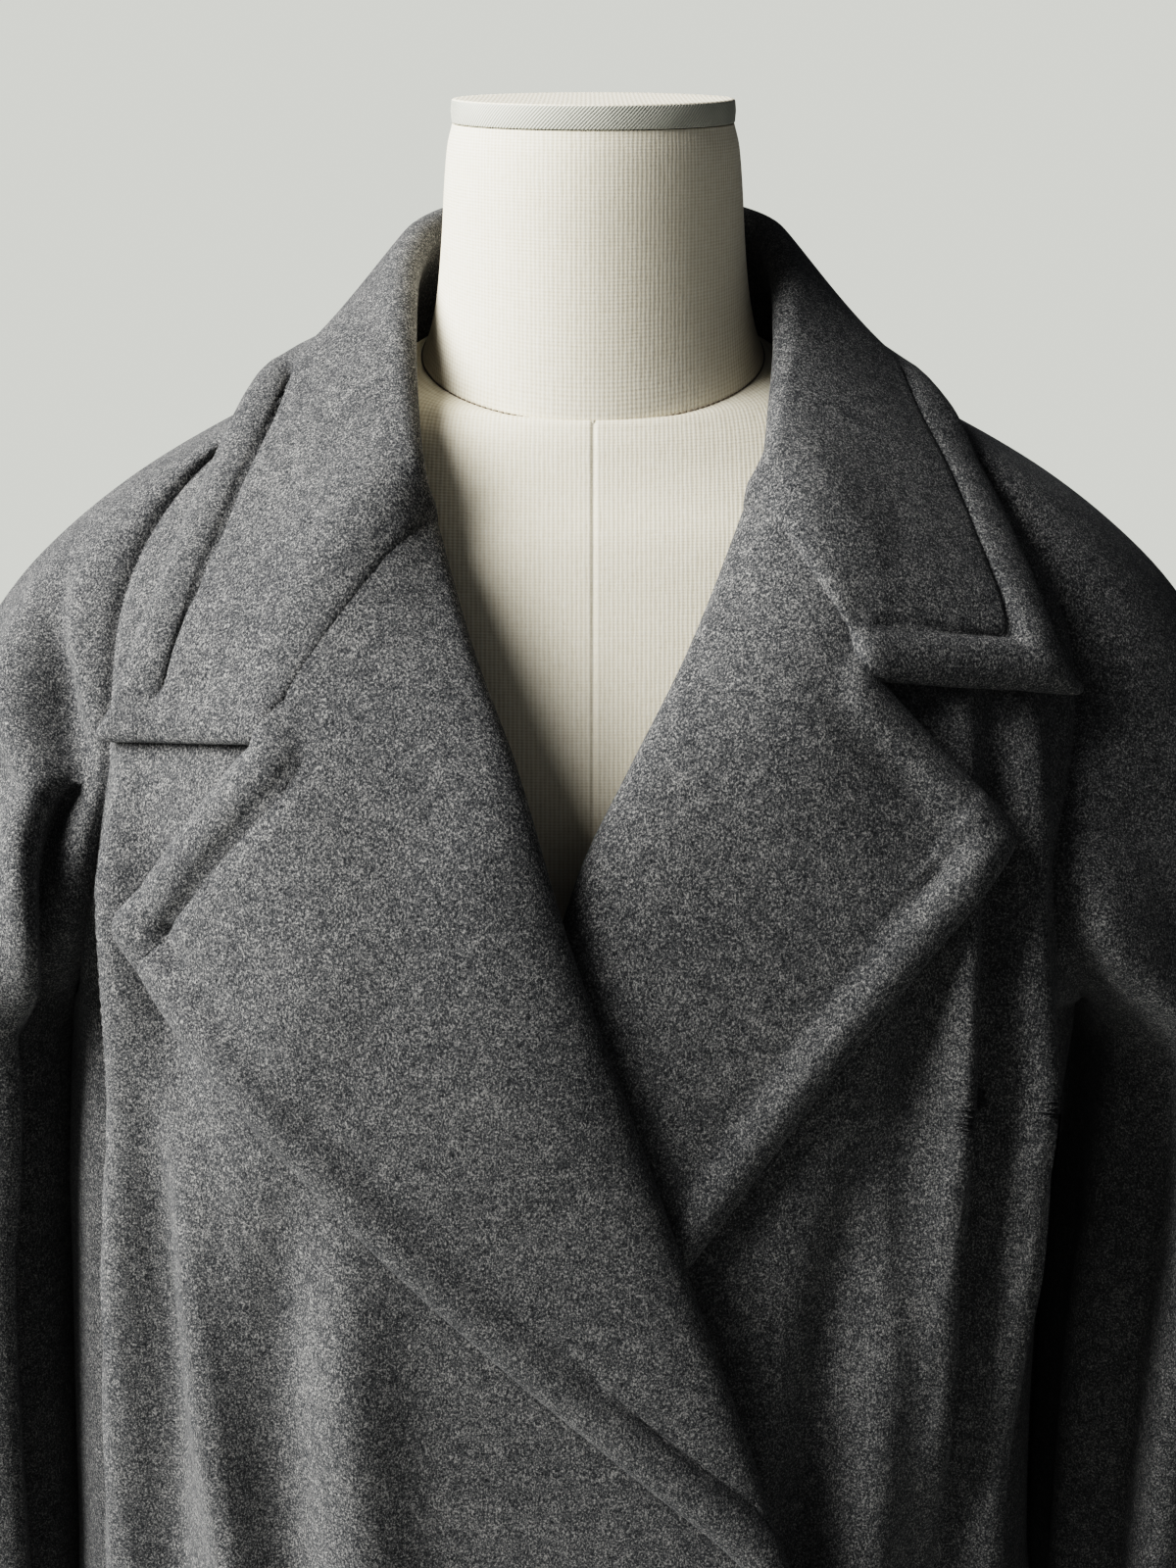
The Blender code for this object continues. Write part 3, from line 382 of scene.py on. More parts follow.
# %% Edges, seams and stitched ditches
CLOTH = 0.0024          # coating cloth
PANEL_ROUND = CLOTH * 0.6
THIN = 0.1              # share of the wall that an edge keeps
SEAM_WALL = 0.45        # and a seam
SEAM_DEPTH = 0.001      # how deep a seam sinks
SEAM_WIDTH = 0.0026
SEAM_REACH = 0.004      # edges nearer than this are sewn to each other
WELT = 0.019            # the stitching runs this far inside an edge
DITCH = 0.002           # and sinks this deep
DITCH_WIDTH = 0.0014
FAR = 0.03              # no edge matters beyond this distance
ENDS = {"first": 0, "last": -1}


def bell(gap, width):
    return np.exp(-((gap / width) ** 2))


def edge_gaps(grid):
    """Distance of each point from the first and last column and the top and bottom row."""
    across = np.linalg.norm(np.diff(grid, axis=1), axis=2)
    down = np.linalg.norm(np.diff(grid, axis=0), axis=2)
    across = np.pad(np.cumsum(across, axis=1), ((0, 0), (1, 0)))
    down = np.pad(np.cumsum(down, axis=0), ((1, 0), (0, 0)))
    return {"first": across, "last": across[:, -1:] - across,
            "top": down, "bottom": down[-1:] - down}


def distance_to(grid, line):
    """Distance of every point of a grid from a line of points, and the nearest of them."""
    flat = grid.reshape(-1, 3)
    best, which = np.full(len(flat), FAR), np.zeros(len(flat), int)
    for k, (a, b) in enumerate(zip(line[:-1], line[1:])):
        along = b - a
        t = np.clip(((flat - a) @ along) / max(along @ along, 1e-12), 0, 1)
        gap = np.linalg.norm(flat - a - t[:, None] * along, axis=1)
        which = np.where(gap < best, k, which)
        best = np.minimum(best, gap)
    return best.reshape(grid.shape[:2]), which.reshape(grid.shape[:2])


def rounding(gap, radius):
    """Share of the wall that is left near a round edge."""
    short = np.clip(1 - gap / radius, 0, 1)
    return np.maximum(np.sqrt(1 - short**2), THIN)


def seam_way(grid, flipped, side, partners):
    """Which way a seam sinks: the same for both panels, so that it stays closed."""
    places, normals = (field[:, ENDS[side]] for field in (grid, facing(grid, flipped)))
    other_places, other_normals = (
        np.concatenate([field[:, k] for field in fields for k in (0, -1)])
        for fields in ([other for other, _ in partners], [facing(*other) for other in partners])
    )
    gaps = np.linalg.norm(places[:, None] - other_places[None], axis=2)
    both = normals + other_normals[gaps.argmin(axis=1)]
    met = (gaps.min(axis=1) < SEAM_REACH) * ease((np.linalg.norm(both, axis=1) - 0.3) / 0.6)
    return unit(mix(normals, both, met[:, None]))


def finish_edges(panel, partners, seams, cuts, stitched=None):
    """Sinks the seams and stitches of a panel and rounds its edges. Gives the new grid,
    and how much of the wall each point keeps."""
    grid, flipped = panel
    gaps, normal = edge_gaps(grid), facing(grid, flipped)
    done, left, sink = grid.copy(), np.ones(grid.shape[:2]), np.zeros(grid.shape[:2])
    for side in seams:
        gap, nearest = distance_to(grid, grid[:, ENDS[side]])
        way = seam_way(grid, flipped, side, partners)[nearest]
        done -= way * (SEAM_DEPTH * bell(gap, SEAM_WIDTH))[..., None]
        left = np.minimum(left, np.maximum(rounding(gap, PANEL_ROUND), SEAM_WALL))
    for side in cuts:
        thin = rounding(gaps[side], PANEL_ROUND)
        left = np.minimum(left, thin)
        sink += (1 - thin) * CLOTH / 2
    if stitched is not None:
        sink += stitched * DITCH * bell(gaps["first"] - WELT, DITCH_WIDTH)
    return done - normal * sink[..., None], left


def spread(length, count, first, last):
    """Columns of rows with those lengths: some at fixed distances from each end, the rest
    evenly between them. Shares of the length, a row for each."""
    length = np.asarray(length)[:, None]
    first, last = np.array(first), np.array(last)[::-1]
    scale = np.minimum(1, 0.45 * length / max(first[-1] + last[0], 1e-9))
    starts = first * scale / length
    ends = 1 - last * scale / length
    t = np.linspace(0, 1, count + 2)[1:-1]
    between = starts[:, -1:] + (ends[:, :1] - starts[:, -1:]) * t
    return np.concatenate([starts, between, ends], axis=1)


def metres(*millimetres):
    return [value / 1000 for value in millimetres]


SEAM_LINES = metres(0, 0.4, 0.9, 1.6, 2.6, 4.2, 7)
WELT_LINES = metres(0, 0.4, 0.9, 1.7, 3, 5, 7.5, 10.5, 13.5, 15.8, 17.2, 18, 18.6, 19.1, 19.7,
                    20.5, 22.5)

# %% [markdown]
# Tables that can be read anywhere. A garment is drafted from a few measures taken at a few
# heights. A smooth curve that never overshoots its rows reads them between, for a whole
# array of places at once.


# %% Tables
def table(columns, *rows):
    return dict(zip(columns.split(), np.array(rows, float).T))


def read(rows, key, at, column):
    keys, values = rows[key], rows[column]
    at = np.clip(at, keys[0], keys[-1])
    i = np.clip(np.searchsorted(keys, at, side="right") - 1, 0, len(keys) - 2)
    steps = np.diff(keys)
    slopes = np.diff(values) / steps
    before, after = slopes[:-1], slopes[1:]
    rising = before * after > 0
    total = np.where(rising, before + after, 1.0)
    inner = np.where(rising, 2 * before * after / total, 0.0)
    tangents = np.concatenate([slopes[:1], inner, slopes[-1:]])
    step = steps[i]
    t = (at - keys[i]) / step
    return (
        values[i] * (1 + 2 * t) * (1 - t) ** 2
        + tangents[i] * step * t * (1 - t) ** 2
        + values[i + 1] * t * t * (3 - 2 * t)
        + tangents[i + 1] * step * t * t * (t - 1)
    )


def ease(t):
    t = np.clip(t, 0.0, 1.0)
    return t * t * (3 - 2 * t)


def mix(a, b, t):
    return a + (b - a) * t


def unit(vectors):
    return vectors / np.maximum(np.linalg.norm(vectors, axis=-1, keepdims=True), 1e-12)


def dot(a, b):
    return np.sum(a * b, axis=-1, keepdims=True)


def points(x, y, z):
    return np.stack(np.broadcast_arrays(x, y, z), axis=-1).astype(float)


# %% [markdown]
# The form of the coat. Below the arms it is a stack of rounded sections; above them the
# cloth arches over the shoulders to a crest line. A place on it has two measures: the turn
# round the body in degrees, 0 at the front, and the level, metres below the underarm or,
# above it, a share of the arch.

# %% The coat's measures
RIGHT, LEFT = -1, 1
UNDERARM_Z, BREAK_Z, HEM_Z = 1.16, 0.95, 0.31
LAP_X = 0.09            # the front edges stand this far past the middle
AXIS_Y, CREST_Y = 0.005, 0.012
LAP_RISE, LAP_RISE_LOW = 0.015, 0.0055      # the right front rides over the left one
LAP_GROWS_Z, LAP_GROWS_X, LAP_FADES_Z = (0.85, 0.095), (-0.175, 0.075), (1.37, 0.1)
REVERS = 0.004          # two layers, as in a lapel
LIFT = 0.0016           # the air below them
ROLL = CLOTH / 2 + LIFT + REVERS / 2
ROLL_AIR = 0.0011
ARM_AIR = 0.002

BODY = table(
    "z width front back square shift",
    (0.31, 0.262, 0.2, 0.182, 2.5, -0.01), (0.6, 0.236, 0.184, 0.164, 2.7, -0.012),
    (0.8, 0.216, 0.17, 0.15, 2.9, -0.013), (0.95, 0.205, 0.16, 0.142, 3.1, -0.013),
    (1.08, 0.202, 0.152, 0.138, 3.3, -0.01), (1.16, 0.202, 0.147, 0.135, 3.4, -0.004),
)
RIGHT_SEAM = table(
    "share turn rise",
    (0.0, 32, 80), (0.12, 39, 79), (0.24, 46, 76), (0.34, 51.5, 69), (0.44, 55.5, 60),
    (0.53, 57.5, 52), (0.62, 58, 44), (0.7, 58.2, 36), (0.76, 59.4, 30), (0.82, 61.5, 23),
    (0.88, 66, 15), (0.92, 71.5, 9), (0.96, 80, 4), (1.0, 90, 0),
)
LEFT_SEAM = table(
    "share turn rise",
    (0.0, 32, 80), (0.12, 39, 79), (0.24, 46, 76), (0.34, 52, 69), (0.44, 57, 60), (0.53, 61, 52),
    (0.62, 62.5, 44), (0.7, 61.5, 36), (0.76, 59.5, 30), (0.82, 57.8, 23), (0.88, 59, 15),
    (0.92, 65, 9), (0.96, 77, 4), (1.0, 90, 0),
)
FRONT_SEAMS = {RIGHT: RIGHT_SEAM, LEFT: LEFT_SEAM}
BACK_SEAM = table(
    "share turn rise",
    (0.0, 149, 80), (0.12, 141, 77), (0.24, 134, 71), (0.34, 129, 65), (0.44, 125, 58),
    (0.53, 122, 51), (0.62, 119, 42), (0.7, 116, 33), (0.76, 113, 26), (0.82, 109, 18),
    (0.88, 104, 10.2), (0.92, 99, 5.1), (0.96, 94, 1.8), (1.0, 90, 0),
)
CROWN = table(
    "share x z depth",
    (0.0, 0.085, 1.4227, 0.0), (0.12, 0.114, 1.4118, 0.0), (0.24, 0.15, 1.395, 0.0),
    (0.34, 0.18, 1.3775, 0.0), (0.44, 0.206, 1.358, 0.048), (0.53, 0.228, 1.337, 0.062),
    (0.62, 0.247, 1.311, 0.074), (0.7, 0.261, 1.283, 0.084), (0.76, 0.269, 1.26, 0.093),
    (0.82, 0.276, 1.236, 0.101), (0.88, 0.282, 1.213, 0.104), (0.92, 0.2865, 1.196, 0.104),
    (0.96, 0.2905, 1.182, 0.102), (1.0, 0.2945, 1.17, 0.1),
)
ARM = table(
    "z right_x left_x y width depth",
    (0.74, 0.283, 0.257, -0.018, 0.041, 0.064), (0.82, 0.278, 0.252, -0.012, 0.0445, 0.071),
    (0.92, 0.273, 0.245, -0.006, 0.048, 0.081), (1.02, 0.269, 0.2455, -0.002, 0.0488, 0.09),
    (1.1, 0.2625, 0.249, 0.0, 0.048, 0.096), (1.166, 0.2535, 0.25, 0.0, 0.0445, 0.1),
)

# %% [markdown]
# Folds. Each is a row: where it begins and ends (a turn and a height), its half width in
# degrees and how far it stands out, or in where that is negative. The long ones come
# first; the short, sharp ones after them are what makes thick cloth look heavy.

# %% Folds
FOLD = "turn_top z_top turn_low z_low width height"
LONG_FRONT_FOLDS = (
    (-56.5, 1.33, -55, 0.31, 3.4, 0.01), (-62, 1.28, -61.5, 0.31, 3.6, -0.01),
    (-77, 1.24, -76, 0.31, 6, 0.006), (-50, 1.29, -48, 0.31, 3.2, -0.007),
    (-54, 1.24, -37, 0.93, 2.8, 0.009), (-38, 1.01, -35, 0.31, 4.2, 0.011),
    (-36, 1.18, -29, 0.31, 4, -0.009), (-31, 1.15, -19, 0.86, 5, 0.008),
    (39, 1.24, 36, 0.31, 5, 0.008), (41, 1.345, 42, 1.15, 2.5, -0.006),
    (45.5, 1.345, 47.0, 1.04, 2.2, 0.008), (49.4, 1.345, 50.0, 1.0, 2.0, -0.008),
    (53.6, 1.345, 55.0, 1.1, 2.2, 0.007), (60, 1.25, 54.5, 1.14, 2.8, 0.008),
    (54.5, 1.14, 52, 0.31, 3.2, 0.011), (66, 1.25, 65, 0.31, 8, -0.014),
    (46, 1.05, 44, 0.31, 4, -0.007),
)
RIGHT_FOLDS = table(FOLD, *LONG_FRONT_FOLDS)
LEFT_FOLDS = table(FOLD, *LONG_FRONT_FOLDS, (41, 1.24, 29, 0.9, 4.2, -0.012))
BACK_FOLDS = table(
    FOLD,
    (-158, 1.26, -152, 0.31, 7, 0.01), (-136, 1.22, -130, 0.31, 7, -0.009),
    (-116, 1.15, -112, 0.31, 7, 0.009), (179, 1.1, 176, 0.31, 8, -0.008),
    (162, 1.24, 158, 0.31, 7, 0.009), (139, 1.2, 134, 0.31, 8, -0.01),
    (117, 1.16, 110, 0.31, 7, 0.01), (106, 1.12, 104, 0.31, 6, 0.016),
)
RIGHT_ARM_FOLDS = table(
    FOLD,
    (70, 1.37, -35, 1.19, 9, 0.01), (51, 1.37, -46, 1.19, 7, -0.016),
    (-35, 1.19, -38, 0.74, 9, 0.008), (-46, 1.19, -50, 0.74, 9, -0.012),
    (-10, 1.19, -14, 0.74, 10, -0.007), (14, 1.19, 10, 0.74, 11, 0.006),
    (48, 1.35, 40, 0.74, 14, 0.008), (84, 1.3, 92, 0.74, 13, -0.007),
    (120, 1.32, 128, 0.74, 15, 0.009), (158, 1.28, 168, 0.74, 14, -0.008),
)
LEFT_ARM_FOLDS = table(
    FOLD,
    (-54, 1.3, -54, 0.74, 8, 0.007), (-33, 1.28, -34, 0.74, 8, -0.006),
    (-10, 1.33, -12, 0.74, 10, 0.008), (18, 1.3, 14, 0.74, 11, -0.007),
    (50, 1.33, 44, 0.74, 13, 0.008), (78, 1.3, 74, 0.74, 12, -0.007),
    (110, 1.3, 116, 0.74, 14, 0.008), (150, 1.32, 156, 0.74, 15, -0.007),
)


FADE = 0.1              # folds grow and die out over this height


def fold_height(folds, turn, z):
    """How far all folds together stand out at a place."""
    total = np.zeros(np.broadcast(turn, z).shape)
    for turn_top, z_top, turn_low, z_low, width, height in zip(*(folds[k] for k in FOLD.split())):
        down = z_top - z
        along = np.clip(down / (z_top - z_low), 0.0, 1.0)
        off = (turn - mix(turn_top, turn_low, along) + 180) % 360 - 180
        grow = ease(down / FADE) * (1 - ease((z_low - z) / FADE)) * (1 + 0.3 * along)
        total = total + height * grow * bell(off, width)
    return total


# %% Sections, arch and lap
def section(rows, turn, z):
    side, ahead = np.sin(np.radians(turn)), np.cos(np.radians(turn))
    width = read(rows, "z", z, "width")
    depth = np.where(ahead > 0, read(rows, "z", z, "front"), read(rows, "z", z, "back"))
    square = read(rows, "z", z, "square")
    reach = (np.abs(side / width) ** square + np.abs(ahead / depth) ** square) ** (-1 / square)
    return points(reach * side + read(rows, "z", z, "shift"), AXIS_Y - reach * ahead, z)


NECK_HALF, CREST_Z = 0.06, 1.43
CREST_SLOPE, CREST_DROOP = 0.25, 1.6
NAPE_RISE, NAPE_HALF = 0.012, 0.08
BACK_POWER = 2 / 2.6    # the arch is squarer behind
TOP = 0.9999            # share of the arch that can still be measured


def crest_height(x, behind):
    out = np.abs(x) - NECK_HALF
    nape = np.where(behind, NAPE_RISE * np.maximum(0.0, 1 - (x / NAPE_HALF) ** 2), 0.0)
    return CREST_Z - CREST_SLOPE * out - CREST_DROOP * out * out + nape


def shell(turn, level):
    """A point of the coat's form: sections below the arms, an arch above them."""
    turn, level = np.broadcast_arrays(turn, level)
    low = section(BODY, turn, UNDERARM_Z + np.minimum(level, 0))
    behind = np.abs(turn) > 90
    power = np.where(behind, BACK_POWER, 1.0)
    angle = np.radians(np.clip(90 * level, 0, 89.99))
    crest = crest_height(low[..., 0], behind)
    y = CREST_Y + (low[..., 1] - CREST_Y) * np.cos(angle) ** power
    z = UNDERARM_Z + (crest - UNDERARM_Z) * np.sin(angle) ** power
    return np.where((level > 0)[..., None], points(low[..., 0], y, z), low)


def shell_normal(turn, level, step=0.004):
    across = shell(turn + 1, level) - shell(turn - 1, level)
    up = shell(turn, level + step) - shell(turn, level - step)
    return unit(np.cross(across, up))


HALVINGS = 40


def turn_at(x, z):
    """The turn at which the front of the section at that height has that x."""
    x, z = np.broadcast_arrays(x, z)
    low, high = np.full(x.shape, -89.0), np.full(x.shape, 89.0)
    for _ in range(HALVINGS):
        middle = (low + high) / 2
        short = section(BODY, middle, z)[..., 0] < x
        low, high = np.where(short, middle, low), np.where(short, high, middle)
    return low


def on_front(x, z):
    """Turn and level of the place on the front with that x and height."""
    turn = turn_at(x, np.minimum(z, UNDERARM_Z))
    rise = np.clip((z - UNDERARM_Z) / (crest_height(x, False) - UNDERARM_Z), 0, TOP)
    return turn, np.where(z <= UNDERARM_Z, z - UNDERARM_Z, np.degrees(np.arcsin(rise)) / 90)


def lap_rise(side, point):
    """How far the right front stands off, to ride over the left one and its lapel. The rise
    dies out towards the side and the neck, and is less below the break."""
    if side == LEFT:
        return np.zeros(point.shape[:-1])
    x, z = point[..., 0], point[..., 2]
    high = mix(LAP_RISE_LOW, LAP_RISE, ease((z - LAP_GROWS_Z[0]) / LAP_GROWS_Z[1]))
    grown = ease((x - LAP_GROWS_X[0]) / LAP_GROWS_X[1])
    return high * grown * ease((LAP_FADES_Z[0] - z) / LAP_FADES_Z[1])


def cloth_point(turn, level, folds, side=LEFT, calm=1.0):
    """A point of the cloth. Folds die out where it is calm, which keeps seams closed."""
    point = shell(turn, level)
    out = fold_height(folds, turn, point[..., 2]) * calm + lap_rise(side, point)
    return point + shell_normal(turn, level) * out[..., None]


# %% [markdown]
# The roll of each lapel: the line where the front folds over, from the gorge at the neck
# down to the break. It is drawn as the front sees it, x and height, and the front panel
# ends just inside it.

# %% Roll lines
ROLL_COLUMNS = "share x z"
RIGHT_ROLL = table(
    ROLL_COLUMNS,
    (0.0, -0.056, 1.375), (0.1, -0.0416, 1.3331), (0.19, -0.026, 1.2949), (0.33, -0.0089, 1.2392),
    (0.47, 0.012, 1.1791), (0.63, 0.0339, 1.1132), (0.79, 0.0566, 1.0442), (0.92, 0.0735, 0.986),
    (1.0, 0.084, 0.95),
)
LEFT_ROLL = table(
    ROLL_COLUMNS,
    (0.0, 0.054, 1.379), (0.1, 0.0325, 1.3323), (0.19, 0.0118, 1.2936), (0.28, -0.0055, 1.2587),
    (0.42, -0.023, 1.2), (0.63, -0.047, 1.11), (0.82, -0.067, 1.025), (1.0, -0.084, 0.95),
)
ROLLS = {RIGHT: RIGHT_ROLL, LEFT: LEFT_ROLL}
FOLDS = {RIGHT: RIGHT_FOLDS, LEFT: LEFT_FOLDS}
EDGE_TURNS = (0.954, 0.922)     # between these heights the roll becomes the front edge


def front_edge_x(side, z):
    """Where the inner edge of a front stands at a height."""
    roll = ROLLS[side]
    share = np.linspace(0, 1, 400)
    heights, places = read(roll, "share", share, "z"), read(roll, "share", share, "x")
    rolled = np.interp(z, heights[::-1], places[::-1]) + side * (ROLL + REVERS / 2 + ROLL_AIR)
    straight = np.clip((EDGE_TURNS[0] - z) / (EDGE_TURNS[0] - EDGE_TURNS[1]), 0, 1)
    return mix(rolled, -side * LAP_X, straight)


# %% [markdown]
# The fronts. Each row runs from the roll, or the front edge below the break, out to the
# raglan seam or the side seam. A row's place is its line: 0 at the neckline, 1 at the
# underarm, and metres further down below it.

# %% Front panels
NECK_DROP = 0.008
NECK_SCOOP = 1.0        # degrees that the neckline is hollowed by
SCOOP_FADE = 10         # it is gone after one part in so many of the raglan seam
SEAM_CALM = 4           # degrees over which the folds die out towards a raglan seam
CALM_END = 0.08         # and how soon they may run on below the underarm


def front_ends(side, line):
    """(turn, level) of both ends of each row of a front."""
    share = np.clip(line, 0, 1)
    z = mix(ROLLS[side]["z"][0] - NECK_DROP, UNDERARM_Z, share) - np.maximum(line - 1, 0)
    inner = on_front(front_edge_x(side, z), z)
    below = np.minimum(z - UNDERARM_Z, 0)
    outer_turn = side * np.where(line > 1, 90.0, read(FRONT_SEAMS[side], "share", share, "turn"))
    outer_level = np.where(line > 1, below, read(FRONT_SEAMS[side], "share", share, "rise") / 90)
    return inner, (outer_turn, outer_level)


def front_point(side, u, line):
    inner, outer = front_ends(side, line)
    scoop = side * NECK_SCOOP * np.maximum(0.0, 1 - SCOOP_FADE * line)
    turn = mix(inner[0], outer[0], u) + scoop * 4 * u * (1 - u)
    calm = mix(ease(np.abs(outer[0] - turn) / SEAM_CALM), 1.0, ease((line - 1) / CALM_END))
    return cloth_point(turn, mix(inner[1], outer[1], u), FOLDS[side], side, calm)


LENGTH_POINTS = 25      # a row's length is measured through so many points


def lines_down(*spans):
    """Rows of a panel: (first line, last line, number of rows) for each span."""
    parts = [np.linspace(start, stop, count, endpoint=False) for start, stop, count in spans]
    return np.concatenate(parts + [[spans[-1][1]]])[:, None]


def row_lengths(place, lines):
    rows = place(np.linspace(0, 1, LENGTH_POINTS)[None, :], lines)
    return np.linalg.norm(np.diff(rows, axis=1), axis=2).sum(axis=1)


def drawn(place, lines, count, first, last):
    """A panel's grid: rows at its lines, columns close together near both ends."""
    return place(spread(row_lengths(place, lines), count, first, last), lines)


HEM_LINE = 1 + UNDERARM_Z - HEM_Z
TURN_UP = 0.004         # the last rows, where the hem and the cuffs round off
RAGLAN_LINES = ((0, 0.08, 8), (0.08, 0.84, 46), (0.84, 1, 40))
BODY_LINES = lines_down(*RAGLAN_LINES, (1, 1.3, 60), (1.3, HEM_LINE - TURN_UP, 62),
                        (HEM_LINE - TURN_UP, HEM_LINE, 6))


def front_grid(side):
    return drawn(lambda u, line: front_point(side, u, line), BODY_LINES, 56, WELT_LINES, SEAM_LINES)


right_front = (front_grid(RIGHT), True)
left_front = (front_grid(LEFT), False)
print("fronts:", right_front[0].shape, left_front[0].shape)

# %% [markdown]
# The back is one panel from side seam to side seam, with the nape at its top. It has no
# vent: the folds open towards the hem by themselves.

# %% Back panel
NAPE_LEVEL = 0.62


def back_point(u, line):
    share = np.clip(line, 0, 1)
    below = 1 - np.maximum(line, 1)
    end = np.where(line > 1, 90.0, read(BACK_SEAM, "share", share, "turn"))
    seam_level = np.where(line > 1, below, read(BACK_SEAM, "share", share, "rise") / 90)
    middle_level = np.where(line > 1, below, mix(NAPE_LEVEL, 0.0, share))
    turn = 180 + (180 - end) * (2 * u - 1)
    level = mix(middle_level, seam_level, (2 * u - 1) ** 2)
    calm = ease((180 - end) * (1 - np.abs(2 * u - 1)) / SEAM_CALM)
    calm = mix(calm, 1.0, ease((line - 1) / CALM_END))
    return cloth_point(np.where(turn <= 180, turn, turn - 360), level, BACK_FOLDS, calm=calm)


whole_back = (drawn(back_point, BODY_LINES, 96, SEAM_LINES, SEAM_LINES), False)
print("back:", whole_back[0].shape)

# %% [markdown]
# Raglan sleeves run right up to the neck. Above the underarm each ring starts on the front
# seam, goes out over the crown and comes back to the back seam. Below it the ring closes
# to a tube, whose two edges meet in the underarm seam.


# %% Sleeves
SLIM = {RIGHT: 0.95, LEFT: 0.87}    # the left sleeve lies flatter where it leaves the body
LEVEL_REACH = 0.07      # a ring whose seams are nearer than this is level
ARM_PARTS = (0.96, 0.04)        # where on the raglan seam it leaves the body, and how soon
ARM_TILT, TILT_GROWS_Z = 0.008, (1.05, 0.1)


def arm_ring(side, share):
    """Middle of a ring, its axes outwards and ahead, how far past them it reaches, and how
    far its front end would then miss the seam."""
    seams = [
        shell(side * read(rows, "share", share, "turn"), read(rows, "share", share, "rise") / 90)
        for rows in (FRONT_SEAMS[side], BACK_SEAM)
    ]
    middle, half = (seams[0] + seams[1]) / 2, (seams[0] - seams[1]) / 2
    crown = points(side * read(CROWN, "share", share, "x"), mix(CREST_Y, 0.0, share),
                   read(CROWN, "share", share, "z"))
    reach = np.linalg.norm(half, axis=-1)
    depth = np.maximum(read(CROWN, "share", share, "depth") * SLIM[side], reach)
    past = np.arccos(np.minimum(reach / depth, 1.0))
    middle[..., 0] += side * ARM_AIR * ease((share - ARM_PARTS[0]) / ARM_PARTS[1])
    outward = (crown - middle) / (1 + np.sin(past))[..., None]
    level = np.array([0.0, -1.0, 0.0])
    tilt = ease(reach / LEVEL_REACH)[..., None]
    ahead = unit(mix(level, half / np.maximum(reach, 1e-6)[..., None], tilt))
    miss = half - ahead * reach[..., None]
    return crown - outward, outward, ahead * depth[..., None], np.degrees(past), miss


def arm_tube(side, z):
    middle = points(side * read(ARM, "z", z, "right_x" if side == RIGHT else "left_x"),
                    read(ARM, "z", z, "y"), z)
    tilt = ARM_TILT * ease((z - TILT_GROWS_Z[0]) / TILT_GROWS_Z[1])
    outward = points(side * read(ARM, "z", z, "width"), 0, tilt)
    return middle, outward, points(0, -read(ARM, "z", z, "depth"), 0)


ARM_TOP = ARM["z"][-1]
SEAM_PULL = 60          # degrees of a ring that bend to meet its seams
ARM_CALM = 20           # and that stay without folds
ARM_BLEND = 0.09        # the crown's last ring becomes the tube's over this height
CREASE_REACH = 0.08     # what is drawn into one line round that ring
CREASE_FADE = 0.05
CREASE_ROUNDS, CREASE_SHARE, CREASE_COLUMNS = 160, 0.5, 10


def sleeve_point(side, folds, u, line):
    share, down = np.clip(line, 0, 1), np.maximum(line - 1, 0)
    ring, tube = arm_ring(side, share), arm_tube(side, ARM_TOP - down)
    t = ease(down / ARM_BLEND)[..., None]
    lowered = ring[0] - points(0, 0, down)
    middle = mix(lowered, tube[0], t)
    outward, ahead = mix(ring[1], tube[1], t), mix(ring[2], tube[2], t)
    psi = mix(-ring[3], 180 + ring[3], u)
    side_way, front_way = np.sin(np.radians(psi))[..., None], np.cos(np.radians(psi))[..., None]
    point = middle + outward * side_way + ahead * front_way
    wide, deep = (np.linalg.norm(v, axis=-1, keepdims=True) for v in (outward, ahead))
    normal = unit(outward / wide * side_way / wide + ahead / deep * front_way / deep)
    from_front, from_back = psi + ring[3], 180 + ring[3] - psi
    pull = ease(from_back / SEAM_PULL) - ease(from_front / SEAM_PULL)
    point = point + ring[4] * pull[..., None]
    seam_side = ease(np.minimum(from_front, from_back) / ARM_CALM)
    out = fold_height(folds, psi, point[..., 2]) * seam_side
    return point + normal * out[..., None]


CUFF_LINE = 1 + ARM_TOP - ARM["z"][0]
ARM_LINES = lines_down(*RAGLAN_LINES, (1, CUFF_LINE - TURN_UP, 70),
                       (CUFF_LINE - TURN_UP, CUFF_LINE, 6))
ARM_FOLDS = {RIGHT: RIGHT_ARM_FOLDS, LEFT: LEFT_ARM_FOLDS}


def without_crease(grid):
    """Let the crown run into the tube below it in one line, between the seams."""
    column = np.arange(grid.shape[1])
    near = ease((CREASE_REACH - np.abs(grid[..., 2] - ARM_TOP)) / CREASE_FADE)
    near = CREASE_SHARE * near * ease(np.minimum(column, column[::-1]) / CREASE_COLUMNS)
    for _ in range(CREASE_ROUNDS):
        step = np.linalg.norm(np.diff(grid, axis=0), axis=2)[..., None]
        above, below = step[:-1], step[1:]
        between = (grid[:-2] * below + grid[2:] * above) / np.maximum(above + below, 1e-9)
        grid[1:-1] = mix(grid[1:-1], between, near[1:-1, :, None])
    return grid


def sleeve_grid(side):
    def place(u, line):
        return sleeve_point(side, ARM_FOLDS[side], u, line)

    return without_crease(drawn(place, ARM_LINES, 84, SEAM_LINES, SEAM_LINES))


right_arm = (sleeve_grid(RIGHT), True)
left_arm = (sleeve_grid(LEFT), False)
print("sleeves:", right_arm[0].shape, left_arm[0].shape)

# %% [markdown]
# Sewing the panels. Each one now gets its wall, and its seams sink in. Both panels of a
# seam sink the same way, so no slit opens between them.


